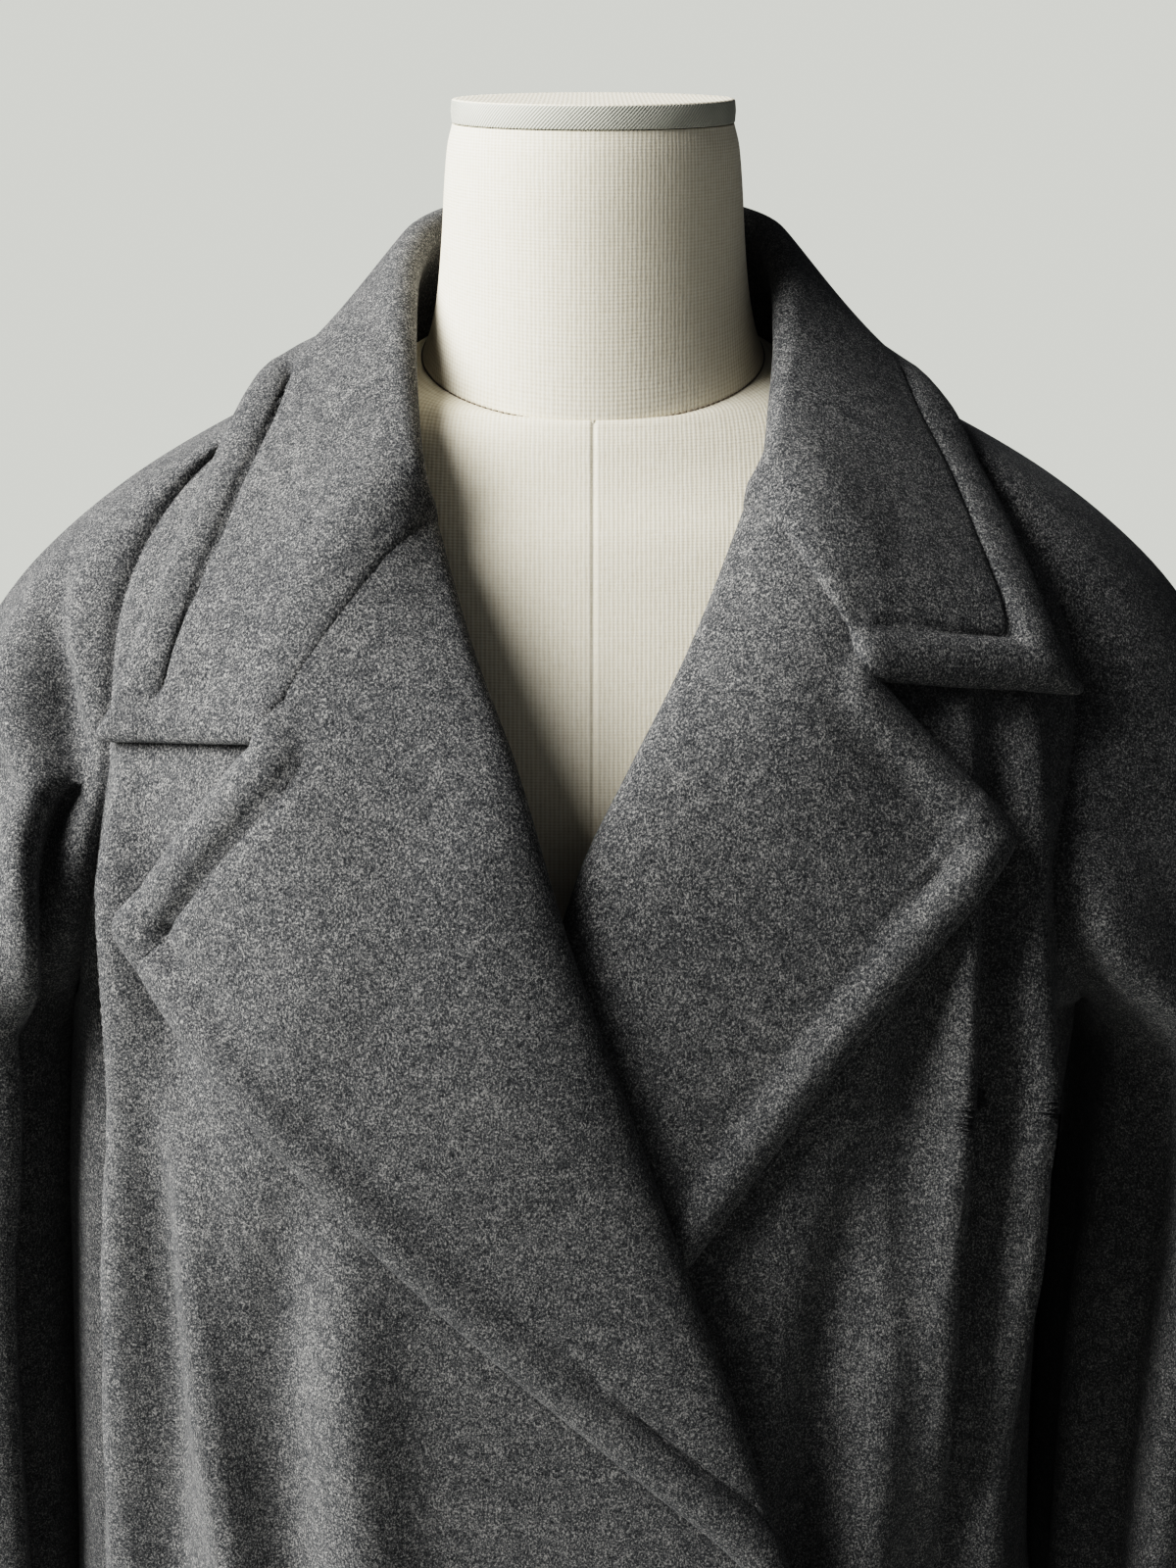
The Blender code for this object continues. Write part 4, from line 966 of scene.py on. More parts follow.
# %% Panels with their edges
arms = [right_arm, left_arm]
pieces, cut_cloth = {}, {}
for name, panel, partners, seams, cuts in (
    ("front_right", right_front, [right_arm, whole_back], ["last"], ["first", "bottom"]),
    ("front_left", left_front, [left_arm, whole_back], ["last"], ["first", "bottom"]),
    ("back", whole_back, [right_front, left_front, *arms], ["first", "last"], ["bottom"]),
    ("sleeve_right", right_arm, [right_front, whole_back], ["first", "last"], ["bottom"]),
    ("sleeve_left", left_arm, [left_front, whole_back], ["first", "last"], ["bottom"]),
):
    grid, flipped = panel
    stitched = ease((BREAK_Z - grid[..., 2]) / FAR) if "first" in cuts else None
    done, left = finish_edges(panel, partners, seams, cuts, stitched)
    closed = np.linalg.norm(grid[:, 0] - grid[:, -1], axis=1) < SAME_PLACE
    done[closed, 0] = done[closed, -1] = (done[closed, 0] + done[closed, -1]) / 2
    pieces[name], cut_cloth[name] = cloth_piece(name, done, CLOTH, left, flipped, -1), done
print("panels:", list(pieces))

# %% [markdown]
# Lapels and collar lie on the panels without touching them. Each is drawn as a row of
# cross-sections: up the inner side, round the roll in half a circle, and out over the
# cloth to its edge. Then it is let down on the panels: where it comes too near, it is
# lifted, and the lift is softened, because thick cloth bridges what lies under it.


# %% Laying cloth on cloth
def tree_of(*grids):
    """The outer faces of some panels, as a tree to measure from."""
    places, faces = [], []
    for grid, flipped in grids:
        rows, columns = grid.shape[:2]
        a = (np.arange(rows - 1)[:, None] * columns + np.arange(columns - 1)).ravel() + len(places)
        quads = np.stack([a, a + 1, a + columns + 1, a + columns], axis=1)
        faces += quads[:, ::1 if flipped else -1].tolist()
        places += grid.reshape(-1, 3).tolist()
    return BVHTree.FromPolygons(places, faces)


def neighbours(field, axis):
    """A field one step back, as it is, and one step on."""
    wide = np.pad(field, [(1, 1) if k == axis else (0, 0) for k in (0, 1)], mode="edge")
    return [np.take(wide, range(k, field.shape[axis] + k), axis) for k in (0, 1, 2)]


def soften(field, times, axes=(0, 1)):
    for _ in range(times):
        for axis in axes:
            low, here, high = neighbours(field, axis)
            field = (low + 2 * here + high) / 4
    return field


def widen(field, times):
    for _ in range(times):
        for axis in (0, 1):
            field = np.maximum.reduce(neighbours(field, axis))
    return field


SOFTNESS = (12, 8, 5, 3)    # rounds of softening, for each time that a piece is lifted
LIFT_SPREAD = 2         # a lift is first taken over by so many neighbours
BESIDE = 0.3            # cloth whose nearest point lies this much sideways isn't below
LEAST_FACING = 0.4      # a lift at a slant to the cloth grows, but not beyond this


def let_down(grid, flipped, tree, clear):
    """Lifts the laid columns of a grid until they are clear of the cloth below."""
    laid = grid[:, FIRST_LAID:]
    for softness in SOFTNESS:
        away = facing(grid, flipped)[:, FIRST_LAID:]
        lift = np.zeros(laid.shape[:2])
        for k in np.ndindex(*lift.shape):
            point = Vector(laid[k])
            place, normal, _, distance = tree.find_nearest(point)
            height = (point - place).dot(normal)
            if abs(height) < BESIDE * distance:
                continue
            short = clear - math.copysign(distance, height)
            if short > 0:
                lift[k] = short / max(LEAST_FACING, normal.dot(Vector(away[k])))
        print("  lifted by up to", round(float(lift.max()) * 1000, 2), "mm")
        laid += away * soften(widen(lift, LIFT_SPREAD), softness)[..., None]
    return grid


# %% Cross-sections of a collar or lapel
TURN_COLUMNS, ROLL_STEPS, GORGE_COLUMNS, POINT_COLUMNS = 5, 14, 22, 10
NOTCH_SHARE = 4 / 7     # of the way from the roll to the edge
WELT_SHARE = 0.35       # the most of it that the stitched edge takes up
FIRST_LAID = TURN_COLUMNS + ROLL_STEPS
NOTCH_COLUMN = FIRST_LAID + GORGE_COLUMNS - 1
ROLL_END = math.radians(34)     # the roll goes over into the fall while it still rises
ROLL_LEAN = 0.17
ROLL_STEP = 0.02        # the share on both sides that the way along a roll is taken from
GORGE_SWELL = 0.0075


def roll_end(centre, face, out):
    """Where the roll goes over into the fall, and the way it goes on."""
    start = centre + out * ROLL * math.cos(ROLL_END) + face * ROLL * math.sin(ROLL_END)
    return start, out * math.sin(ROLL_END) - face * math.cos(ROLL_END)


def bent(start, lean, end, t):
    return mix(mix(start, lean, t), mix(lean, end, t), t)


def revers_grid(centre, face, out, end, edge, gorges):
    """Rows of cross-sections; each argument but the last is a row of points or vectors.
    A gorge is a row, the notch in it, and how near to it every row is."""
    centre, face, out, end, edge = (v[:, None, :] for v in (centre, face, out, end, edge))
    t = np.linspace(0, 1, TURN_COLUMNS, endpoint=False)[None, :, None]
    inner = mix(end, centre - out * ROLL, t)
    beta = np.linspace(math.pi, ROLL_END, ROLL_STEPS, endpoint=False)[None, :, None]
    roll = centre + out * ROLL * np.cos(beta) + face * ROLL * np.sin(beta)
    start, onward = roll_end(centre, face, out)
    reach = np.linalg.norm(edge - start, axis=2)
    dense = np.minimum(WELT_LINES[-1], WELT_SHARE * reach)
    to_notch = np.linspace(0, NOTCH_SHARE, GORGE_COLUMNS)
    t = np.linspace(0, 1, POINT_COLUMNS + 1)[1:]
    past_notch = NOTCH_SHARE + (1 - dense / reach - NOTCH_SHARE) * t
    by_edge = 1 - np.array(WELT_LINES[:-1])[::-1] / WELT_LINES[-1] * dense / reach
    t = [np.broadcast_to(to_notch, (len(reach), GORGE_COLUMNS)), past_notch, by_edge]
    t = np.concatenate(t, axis=1)[..., None]
    fall = bent(start, start + onward * reach[..., None] * ROLL_LEAN, edge, t)
    more = np.zeros_like(fall)
    for row, notch, near in gorges:
        along = np.minimum(t[row] / NOTCH_SHARE, 1)
        swell = GORGE_SWELL * 4 * along * (1 - along)
        seam = mix(start[row, 0], notch, along) + out[row, 0] * swell
        beyond = np.maximum(t[row] - NOTCH_SHARE, 0) / (1 - NOTCH_SHARE)
        target = np.where(beyond > 0, mix(notch, edge[row, 0], beyond), seam)
        more += near[:, None, None] * (target - fall[row])[None]
    return np.concatenate([inner, roll, fall + more], axis=1), t[..., 0]


def on_cloth(side, x, z, clear):
    turn, level = on_front(x, z)
    point = shell(turn, level)
    return point + shell_normal(turn, level) * (lap_rise(side, point) + clear)[..., None]


def roll_station(side, share):
    """Middle of a lapel's roll, the way it faces, outwards, and up along the roll."""
    roll = ROLLS[side]

    def centre(at):
        x = read(roll, "share", at, "x") + side * (ROLL + REVERS / 2)
        turn, level = on_front(x, read(roll, "share", at, "z"))
        normal = shell_normal(turn, level)
        return cloth_point(turn, level, FOLDS[side], side) - normal * CLOTH / 2, normal

    here, normal = centre(share)
    up = unit(centre(np.maximum(share - ROLL_STEP, 0))[0]
              - centre(np.minimum(share + ROLL_STEP, 1))[0])
    face = unit(np.cross(up, normal))
    face = np.where(face[..., :1] * side > 0, -face, face)
    return here, face, normal, up


# %% [markdown]
# The stitched edge. Nineteen millimetres inside the edge of the collar and the lapels a row
# of stitches goes through both layers. The thick cloth puffs up between it and the edge,
# and sinks along it. The distance to the nearest free edge gives that profile at every
# point, so it turns the corners by itself. The gorge, where collar and lapel are sewn to
# each other, is only a fine line: one smooth curve is drawn over both of them there.

# %% Puffed edges
PUFF = 0.0042
REVERS_WALL = REVERS + PUFF
GORGE_DEPTH, GORGE_WIDTH = 0.0001, 0.001
GORGE_REACH = 0.038     # how far from the gorge its smooth curve begins
SLOPE_STEP = 0.008
GORGE_FADES = (7, 6)    # columns over which it dies out at the notch and in the roll
EDGE_ROUND = 0.0026
CORNER_COLUMNS = 9      # the closest lines, next to a free edge
NOTCH_FADE = 0.16       # near the notch the puff dies out over this share


def edge_profile(gap, gorge_gap, amount):
    """How much thicker than two plain layers the piece is."""
    t = np.clip(gap / WELT, 0, 1)
    puff = PUFF * (1 - (2 * t - 1) ** 2) - DITCH * bell(gap - WELT, DITCH_WIDTH)
    return puff * amount - GORGE_DEPTH * bell(gorge_gap, GORGE_WIDTH)


def round_corner(grid, row, radius):
    """Rounds the corner where an end row meets the outer edge."""
    gaps = edge_gaps(grid)
    from_row, from_edge = gaps["top" if row == 0 else "bottom"], gaps["last"]
    p, q = (np.clip(1 - gap / radius, 0, 1) for gap in (from_row, from_edge))
    step = 1 if row == 0 else -1
    corner = grid[row, -1]
    inward = unit(grid[row + CORNER_COLUMNS * step, -1] - corner)
    along = unit(grid[row, -1 - CORNER_COLUMNS] - corner)
    by_row = radius * p * (1 - np.sqrt(1 - q * q / 2))
    by_edge = radius * q * (1 - np.sqrt(1 - p * p / 2))
    return grid + by_row[..., None] * inward + by_edge[..., None] * along


def join_gorge(*edges):
    """Draws one smooth curve over a gorge, column by column, from the lapel to the collar.
    Each edge is a grid and its end row."""
    sheets = [grid if row == 0 else grid[::-1] for grid, row in edges]
    for column in range(TURN_COLUMNS, NOTCH_COLUMN + 1):
        lines = [sheet[:, column] for sheet in sheets]
        across = unit(sheets[0][0, column + 1] - sheets[0][0, column - 1])
        middle = (lines[0][0] + lines[1][0]) / 2
        walked, ends, slopes = [], [], []
        for line in lines:
            apart = np.linalg.norm(line - line[0], axis=1)
            line += (1 - ease(apart / GORGE_REACH))[:, None] * (middle - line[0])
            far = np.pad(np.cumsum(np.linalg.norm(np.diff(line, axis=0), axis=1)), (1, 0))
            end, before = (np.array([np.interp(at, far, line[:, k]) for k in range(3)])
                           for at in (GORGE_REACH, GORGE_REACH - SLOPE_STEP))
            walked.append(far)
            ends.append(end)
            slopes.append((end - before) / SLOPE_STEP * 2 * GORGE_REACH)
        away = unit(np.cross(across, ends[1] - ends[0]))
        strength = (ease((NOTCH_COLUMN - column) / GORGE_FADES[0])
                    * ease((column - FIRST_LAID + 1) / GORGE_FADES[1]))
        for line, far, way in zip(lines, walked, (-1, 1)):
            tau = np.clip(0.5 + way * far / (2 * GORGE_REACH), 0, 1)[:, None]
            curve = ((1 + 2 * tau) * (1 - tau) ** 2 * ends[0] - tau * (1 - tau) ** 2 * slopes[0]
                     + tau**2 * (3 - 2 * tau) * ends[1] + tau**2 * (tau - 1) * slopes[1])
            line += away * dot(curve - line, away) * (far < GORGE_REACH)[:, None] * strength


def finish_revers(name, grid, t, free, gorges, flipped, notch_rows, strength, run=None):
    """Thickens a collar or lapel by its distance from the free edges and the gorge. The
    stitches may follow a run a little past a free edge."""
    laid = grid[:, FIRST_LAID:]
    gap, stitch_gap = np.full((2, *grid.shape[:2]), FAR)
    gap[:, FIRST_LAID:] = distance_to(laid, free)[0]
    past = gap[:, FIRST_LAID:] if run is None else distance_to(laid, run)[0]
    stitch_gap[:, FIRST_LAID:] = np.minimum(gap[:, FIRST_LAID:], past)
    gorge_gap = np.minimum.reduce([distance_to(grid, gorge)[0] for gorge in gorges])
    amount = np.zeros(grid.shape[:2])
    by_notch = np.where(notch_rows, ease((t - NOTCH_SHARE + NOTCH_FADE) / NOTCH_FADE), 1.0)
    amount[:, FIRST_LAID:] = by_notch * (t > 0.02)
    more = edge_profile(stitch_gap, gorge_gap, amount * strength)
    grid = grid + facing(grid, flipped) * (more / 2)[..., None]
    weights = (REVERS + more) / REVERS_WALL * rounding(gap, EDGE_ROUND)
    pieces[name] = cloth_piece(name, grid, REVERS_WALL, weights, flipped, 0)
    cut_cloth[name] = grid


# %% Lapels
GORGE_SEAM = 0.00003
RETURN = 0.012          # the facing turns in behind the roll this far
LOW_RETURN = 0.3        # and by this share of that at the lapel's end
LAPEL_CORNER = 0.008
EDGE_COLUMNS = "share x z"
LAPEL_EDGE = {
    RIGHT: table(
        EDGE_COLUMNS,
        (0.0, -0.1714, 1.232), (0.1, -0.1572, 1.2116), (0.22, -0.1276, 1.181),
        (0.46, -0.0732, 1.1196), (0.63, -0.0308, 1.077), (0.8, 0.0126, 1.0369),
        (0.93, 0.054, 0.996), (1.0, 0.0705, 0.968),
    ),
    LEFT: table(
        EDGE_COLUMNS,
        (0.0, 0.1492, 1.2665), (0.14, 0.1213, 1.2311), (0.32, 0.0863, 1.1869),
        (0.58, 0.034, 1.1108), (0.8, -0.024, 1.033), (1.0, -0.0705, 0.968),
    ),
}
NOTCH = {RIGHT: (-0.1155, 1.3007), LEFT: (0.0985, 1.3229)}
COLLAR_TIP = {RIGHT: (-0.1825, 1.293), LEFT: (0.1765, 1.3085)}
CLEAR = LIFT + REVERS / 2
# How much further off the cloth than that the corners and the edges stand.
NOTCH_AIR = {RIGHT: 0.0024, LEFT: 0.006}
COLLAR_TIP_AIR = {RIGHT: 0.0014, LEFT: 0.0075}
LAPEL_TIP_AIR = {RIGHT: 0.0026, LEFT: 0.005}
EDGE_AIR = 0.0012


def above(side, place, air):
    return on_cloth(side, np.array([place[0]]), np.array([place[1]]), CLEAR + air)[0]


def gorge_end(side, shift):
    """The roll's end at the gorge, and the notch, both kept short of the gorge by the shift."""
    centre, face, out, up = roll_station(side, np.zeros(1))
    centre = centre + up * shift
    notch = above(side, NOTCH[side], NOTCH_AIR[side])
    along = unit(notch - roll_end(centre, face, out)[0][0])
    across = unit(up[0] - along * np.sum(up[0] * along))
    return centre, face, out, notch + across * shift


def end_rows(reach, middle_count, both):
    """Shares down a piece: close together where a stitched edge crosses them."""
    close = np.array(WELT_LINES) / reach
    last = 1 - close[::-1] if both else np.array([1.0])
    t = np.linspace(0, 1, middle_count + 2)[1:-1]
    between = close[-1] + (last[0] - close[-1]) * t
    return np.concatenate([close, between, last])


LAPEL_SPEED = 0.25      # metres of edge for a whole share, near the tip
LAPEL_END = 0.97        # the last row's share of the roll
TIP_AIR_FADE = 0.3      # the tip's air dies out over this share
LAPEL_GORGE_SPREAD = 0.22       # the rows follow the gorge over this one


def lapel_grid(side, below):
    rows = LAPEL_EDGE[side]
    v = end_rows(LAPEL_SPEED, 96, False)
    share = mix(0.0, LAPEL_END, v)
    centre, face, out, _ = roll_station(side, share)
    air = mix(EDGE_AIR, LAPEL_TIP_AIR[side], 1 - ease(share / TIP_AIR_FADE))
    x, z = (read(rows, "share", share, axis) for axis in "xz")
    edge = on_cloth(side, x, z, CLEAR + air)
    *gorge, notch = gorge_end(side, -GORGE_SEAM)
    for row, value in zip((centre, face, out), gorge):
        row[0] = value[0]
    end = centre - out * ROLL - face * (RETURN * mix(1.0, LOW_RETURN, v))[:, None]
    gorges = [(0, notch, 1 - ease(v / LAPEL_GORGE_SPREAD))]
    grid, t = revers_grid(centre, face, out, end, edge, gorges)
    grid = let_down(grid, side == RIGHT, tree_of(below), CLEAR)
    return round_corner(grid, 0, LAPEL_CORNER), t, v


def finish_lapel(name, side, grid, t, v):
    free = np.concatenate([grid[0, NOTCH_COLUMN:], grid[1:, -1]])
    finish_revers(name, grid, t, free, [gorge_line(grid, 0)], side == RIGHT,
                  (v * LAPEL_SPEED < FAR)[:, None], 1.0)


def gorge_line(grid, row):
    return grid[row, FIRST_LAID - 6:NOTCH_COLUMN + 1]


right_lapel = lapel_grid(RIGHT, right_front)
left_lapel = lapel_grid(LEFT, left_front)
print("lapels:", right_lapel[0].shape, left_lapel[0].shape)

# %% [markdown]
# The collar goes round the neck from gorge to gorge. Stations give the middle of its roll,
# which way the roll faces, and its outer edge. Its inner side comes up from beside the
# neckline of the panels, so that seam is followed panel by panel.

# %% Collar
STATION = "share x y z face_x face_y face_z edge_x edge_y edge_z"
COLLAR_STATIONS = (
    (0.06, -0.0668, -0.076, 1.393, 0.8, 0.1, 0.55, -0.175, -0.089, 1.313),
    (0.13, -0.0708, -0.052, 1.414, 0.6, 0.1, 0.78, -0.1635, -0.075, 1.3415),
    (0.2, -0.0728, -0.028, 1.434, 0.4, 0.05, 0.9, -0.15, -0.053, 1.3725),
    (0.28, -0.0735, 0.0, 1.451, 0.25, -0.03, 0.96, -0.128, -0.006, 1.4115),
    (0.35, -0.069, 0.032, 1.464, 0.2, -0.12, 0.97, -0.115, 0.048, 1.4115),
    (0.42, -0.048, 0.064, 1.471, 0.12, -0.2, 0.97, -0.085, 0.0985, 1.383),
    (0.5, 0.0, 0.08, 1.474, 0.0, -0.22, 0.97, 0.0, 0.116, 1.374),
    (0.58, 0.048, 0.064, 1.471, -0.12, -0.2, 0.97, 0.085, 0.0985, 1.383),
    (0.65, 0.07, 0.032, 1.465, -0.2, -0.12, 0.97, 0.115, 0.048, 1.4115),
    (0.72, 0.0745, 0.0, 1.452, -0.25, -0.03, 0.96, 0.1305, -0.001, 1.41),
    (0.8, 0.0738, -0.028, 1.434, -0.4, 0.05, 0.9, 0.148, -0.041, 1.382),
    (0.87, 0.0708, -0.052, 1.414, -0.6, 0.1, 0.78, 0.1625, -0.073, 1.35),
    (0.94, 0.0665, -0.076, 1.394, -0.8, 0.1, 0.55, 0.1715, -0.089, 1.326),
)
COLLAR_RETURN, COLLAR_AIR, COLLAR_CORNER = 0.0024, 0.0028, 0.01
COLLAR_SPEED = 0.33     # metres of edge for a whole share, near the tips
COLLAR_JOIN = 0.03      # the collar's ends take up their full shape over this share
GORGE_SPREAD = 0.12     # and follow the gorge over this one
NECK_STEP = 0.05        # the share on both sides that the way along a neckline is taken from
NECK_LEAN = 0.4         # how far towards a panel's middle the way down it leans
SOFT_NECK = 30          # rounds of softening where it goes from panel to panel
PAST_NOTCH = 0.02       # how far the stitches run on past the left notch
PUFF_CHANGES = (0.012, 0.03)    # where the puff's height changes by the tips, and how soon
NECK_SPANS = (
    (0.0, 0.22, lambda t, line: front_point(RIGHT, t, line), False, 0.21),
    (0.22, 0.34, lambda t, line: sleeve_point(RIGHT, RIGHT_ARM_FOLDS, t, line), False, 0.17),
    (0.34, 0.66, back_point, True, 0.21),
    (0.66, 0.78, lambda t, line: sleeve_point(LEFT, LEFT_ARM_FOLDS, t, line), True, 0.17),
    (0.78, 1.0, lambda t, line: front_point(LEFT, t, line), True, 0.21),
)


def neckline(share):
    """The panels' top edge: each point, and the ways off the panel and outwards."""
    seam, away, outward = (np.zeros((len(share), 3)) for _ in range(3))
    for start, stop, place, backwards, lower in NECK_SPANS:
        here = (share >= start) & (share <= stop)
        t = (share[here] - start) / (stop - start)
        t = 1 - t if backwards else t
        top = np.zeros_like(t)
        seam[here] = place(t, top)
        along = (place(np.minimum(t + NECK_STEP, 1), top)
                 - place(np.maximum(t - NECK_STEP, 0), top))
        along = unit(-along if backwards else along)
        off = place(t, top) - place(mix(t, 0.5, NECK_LEAN), top + lower)
        off = unit(off - along * dot(off, along))
        away[here] = off
        outward[here] = np.cross(off, along)
    return seam, away, unit(outward)


ends = {side: gorge_end(side, GORGE_SEAM) for side in (RIGHT, LEFT)}
tips = {side: above(side, COLLAR_TIP[side], COLLAR_TIP_AIR[side]) for side in (RIGHT, LEFT)}
right_row, left_row = (
    (share, *ends[side][0][0], *ends[side][1][0], *tips[side])
    for share, side in ((0.0, RIGHT), (1.0, LEFT))
)
stations = table(STATION, right_row, *COLLAR_STATIONS, left_row)


def station(share, name):
    return points(*(read(stations, "share", share, name + axis) for axis in ("x", "y", "z")))


v = end_rows(COLLAR_SPEED, 210, True)
from_end = np.minimum(v, 1 - v)
on_right = (v < 0.5)[:, None]
centre = station(v, "")
along = unit(station(np.minimum(v + 0.01, 1), "") - station(np.maximum(v - 0.01, 0), ""))
face = station(v, "face_")
face = unit(face - along * dot(face, along))
out = unit(np.cross(face, along))
edge = station(v, "edge_")
join = np.clip(from_end / COLLAR_JOIN, 0, 1)[:, None]
face = unit(mix(np.where(on_right, ends[RIGHT][1], ends[LEFT][1]), face, join))
out = unit(mix(np.where(on_right, ends[RIGHT][2], ends[LEFT][2]), out, join))
seam, away, outward = (soften(rows, SOFT_NECK, axes=(0,)) for rows in neckline(v))
away, outward = unit(away), unit(outward)
beside = REVERS / 2 + COLLAR_AIR
end_free = centre - out * ROLL - face * COLLAR_RETURN
centre = centre + away * np.maximum(0.0, beside - dot(centre - seam, away)) * join
end = mix(end_free, seam + away * beside - outward * CLOTH / 2, join)
gorges = [(row, ends[side][3], 1 - ease(way / GORGE_SPREAD))
          for row, side, way in ((0, RIGHT, v), (-1, LEFT, 1 - v))]
collar_grid, t = revers_grid(centre, face, out, end, edge, gorges)

panels = tree_of(right_front, left_front, whole_back, *arms)
collar_grid = let_down(collar_grid, False, panels, CLEAR)
for row in (0, -1):
    collar_grid = round_corner(collar_grid, row, COLLAR_CORNER)
join_gorge((right_lapel[0], 0), (collar_grid, 0))
join_gorge((left_lapel[0], 0), (collar_grid, -1))

finish_lapel("lapel_right", RIGHT, *right_lapel)
finish_lapel("lapel_left", LEFT, *left_lapel)
# On the left the stitching of the lower edge runs straight on past the notch, to the gorge.
lower = collar_grid[-1, NOTCH_COLUMN:]
free = np.concatenate([collar_grid[0, NOTCH_COLUMN:], collar_grid[1:-1, -1], lower[::-1]])
run = np.stack([lower[0] + unit(lower[0] - lower[8]) * PAST_NOTCH, lower[0]])
off_tip = ease((from_end * COLLAR_SPEED - PUFF_CHANGES[0]) / PUFF_CHANGES[1])[:, None]
strength = np.where(on_right, mix(0.5, 1.0, off_tip), mix(1.0, 0.5, off_tip))
finish_revers("collar", collar_grid, t, free, [gorge_line(collar_grid, row) for row in (0, -1)],
              False, (from_end * COLLAR_SPEED < FAR)[:, None], strength, run)
print("collar:", collar_grid.shape)

# %% [markdown]
# Buttons of dark horn, in two columns. Each is turned: a profile spun about its axis, with
# a raised rim round a dished middle. Four holes are cut with a Boolean, and two stitches
# of thread lie across them.

# %% Buttons
BUTTON_X, BUTTON_ROWS = 0.06, (0.905, 0.765)
BUTTON_RADIUS, BUTTON_DEPTH, BUTTON_AIR = 0.0145, 0.0042, 0.0004
HOLE_RADIUS, HOLE_SPREAD = 0.0011, 0.0024
THREAD_RADIUS, THREAD_APART = 0.00035, 0.0006
RIM_POINTS, RIM_SHARE = 20, 0.9     # where a button is kept clear of the cloth
UPRIGHT = Matrix.Rotation(math.pi / 2, 4, "X")


def spun(profile, steps):
    """A closed body turned about the Z axis from a profile of (radius, height)."""
    bm = bmesh.new()
    verts = [bm.verts.new((r, 0, z)) for r, z in profile]
    edges = [bm.edges.new(pair) for pair in zip(verts, verts[1:])]
    bmesh.ops.spin(bm, geom=verts + edges, cent=(0, 0, 0), axis=(0, 0, 1), angle=2 * math.pi,
                   steps=steps, use_merge=True)
    bmesh.ops.remove_doubles(bm, verts=bm.verts, dist=SAME_PLACE)
    bmesh.ops.recalc_face_normals(bm, faces=bm.faces)
    return bm


def rod(bm, radius, length, place, steps):
    bmesh.ops.create_cone(bm, cap_ends=True, segments=steps, radius1=radius, radius2=radius,
                          depth=length, matrix=place)


def arc(centre, radius, start, stop, steps):
    """Points of a round stretch of a profile, angles in degrees from the +radius way."""
    angles = np.radians(np.linspace(start, stop, steps))
    return [(centre[0] + radius * math.cos(a), centre[1] + radius * math.sin(a)) for a in angles]


def button_body():
    r, h = BUTTON_RADIUS, BUTTON_DEPTH
    dish = 0.58 * h
    profile = [(0.0, dish), (0.5 * r, dish), (0.58 * r, 0.64 * h), (0.66 * r, 0.88 * h)]
    profile += arc((0.8 * r, 0.7 * h), 0.3 * h, 120, 60, 5)
    profile += arc((r - 0.3 * h, 0.52 * h), 0.3 * h, 55, -40, 7)
    profile += [(0.8 * r, 0.0), (0.0, 0.0)]
    body = link("button_body", spun(profile, 64), horn)
    bm = bmesh.new()
    for k in range(4):
        a = math.radians(45 + 90 * k)
        place = Matrix.Translation((HOLE_SPREAD * math.cos(a), HOLE_SPREAD * math.sin(a), 0))
        rod(bm, HOLE_RADIUS, 0.02, place, 16)
    drill = link("button_drill", bm, horn)
    cut = body.modifiers.new("holes", "BOOLEAN")
    cut.operation = "DIFFERENCE"
    cut.object = drill
    evaluated = body.evaluated_get(bpy.context.evaluated_depsgraph_get())
    mesh = bpy.data.meshes.new_from_object(evaluated)
    for made in (body, drill):
        bpy.data.objects.remove(made)
    return mesh


def stitch_bars():
    """Two stitches over the holes, each a small bar with round ends."""
    bm = bmesh.new()
    reach = HOLE_SPREAD * math.sqrt(0.5)
    for side in (-1, 1):
        for offset in (-THREAD_APART / 2, THREAD_APART / 2):
            place = Matrix.Translation((side * reach + offset, 0, 0.6 * BUTTON_DEPTH))
            rod(bm, THREAD_RADIUS, 2 * reach, place @ UPRIGHT, 8)
    return bm


def seat_on(tree, start):
    """Place of a button: turned to the cloth and clear of it all round its rim."""
    place, normal, _, _ = tree.find_nearest(Vector(start))
    turn = normal.to_track_quat("Z", "Y").to_matrix().to_4x4()
    lift = 0.0
    for k in range(RIM_POINTS):
        a = 2 * math.pi * k / RIM_POINTS
        rim = place + turn @ Vector((math.cos(a), math.sin(a), 0)) * RIM_SHARE * BUTTON_RADIUS
        near_place, near_normal, _, _ = tree.find_nearest(rim)
        lift = max(lift, BUTTON_AIR - (rim - near_place).dot(near_normal))
    return Matrix.Translation(place + normal * lift) @ turn


body_mesh = button_body()
front_tree = tree_of((cut_cloth["front_right"], True))
for row, z in enumerate(BUTTON_ROWS, 1):
    for word, x in (("right", -BUTTON_X), ("left", BUTTON_X)):
        seat = seat_on(front_tree, on_cloth(RIGHT, np.array([x]), np.array([z]), 0.0)[0])
        bm = bmesh.new()
        bm.from_mesh(body_mesh)
        bmesh.ops.transform(bm, matrix=seat, verts=bm.verts)
        made = settle(link(f"horn_button_{word}_{row}", bm, horn), f"button_{word}_{row}")
        made.data.set_sharp_from_angle(angle=math.radians(35))
        bm = stitch_bars()
        bmesh.ops.transform(bm, matrix=seat, verts=bm.verts)
        settle(link(f"button_thread_{word}_{row}", bm, thread))
        print("button", word, row, "at", [round(v, 4) for v in seat.translation])

# %% [markdown]
# The dress form. Its body and its neck are stacks of sections, like the coat, but drawn
# as closed rings. A map in metres is laid on them first, so that the linen's threads run
# straight up from the hips to the neck. A seam runs down the middle of the front and of
# the back, and the neck is sewn on with small brown stitches.

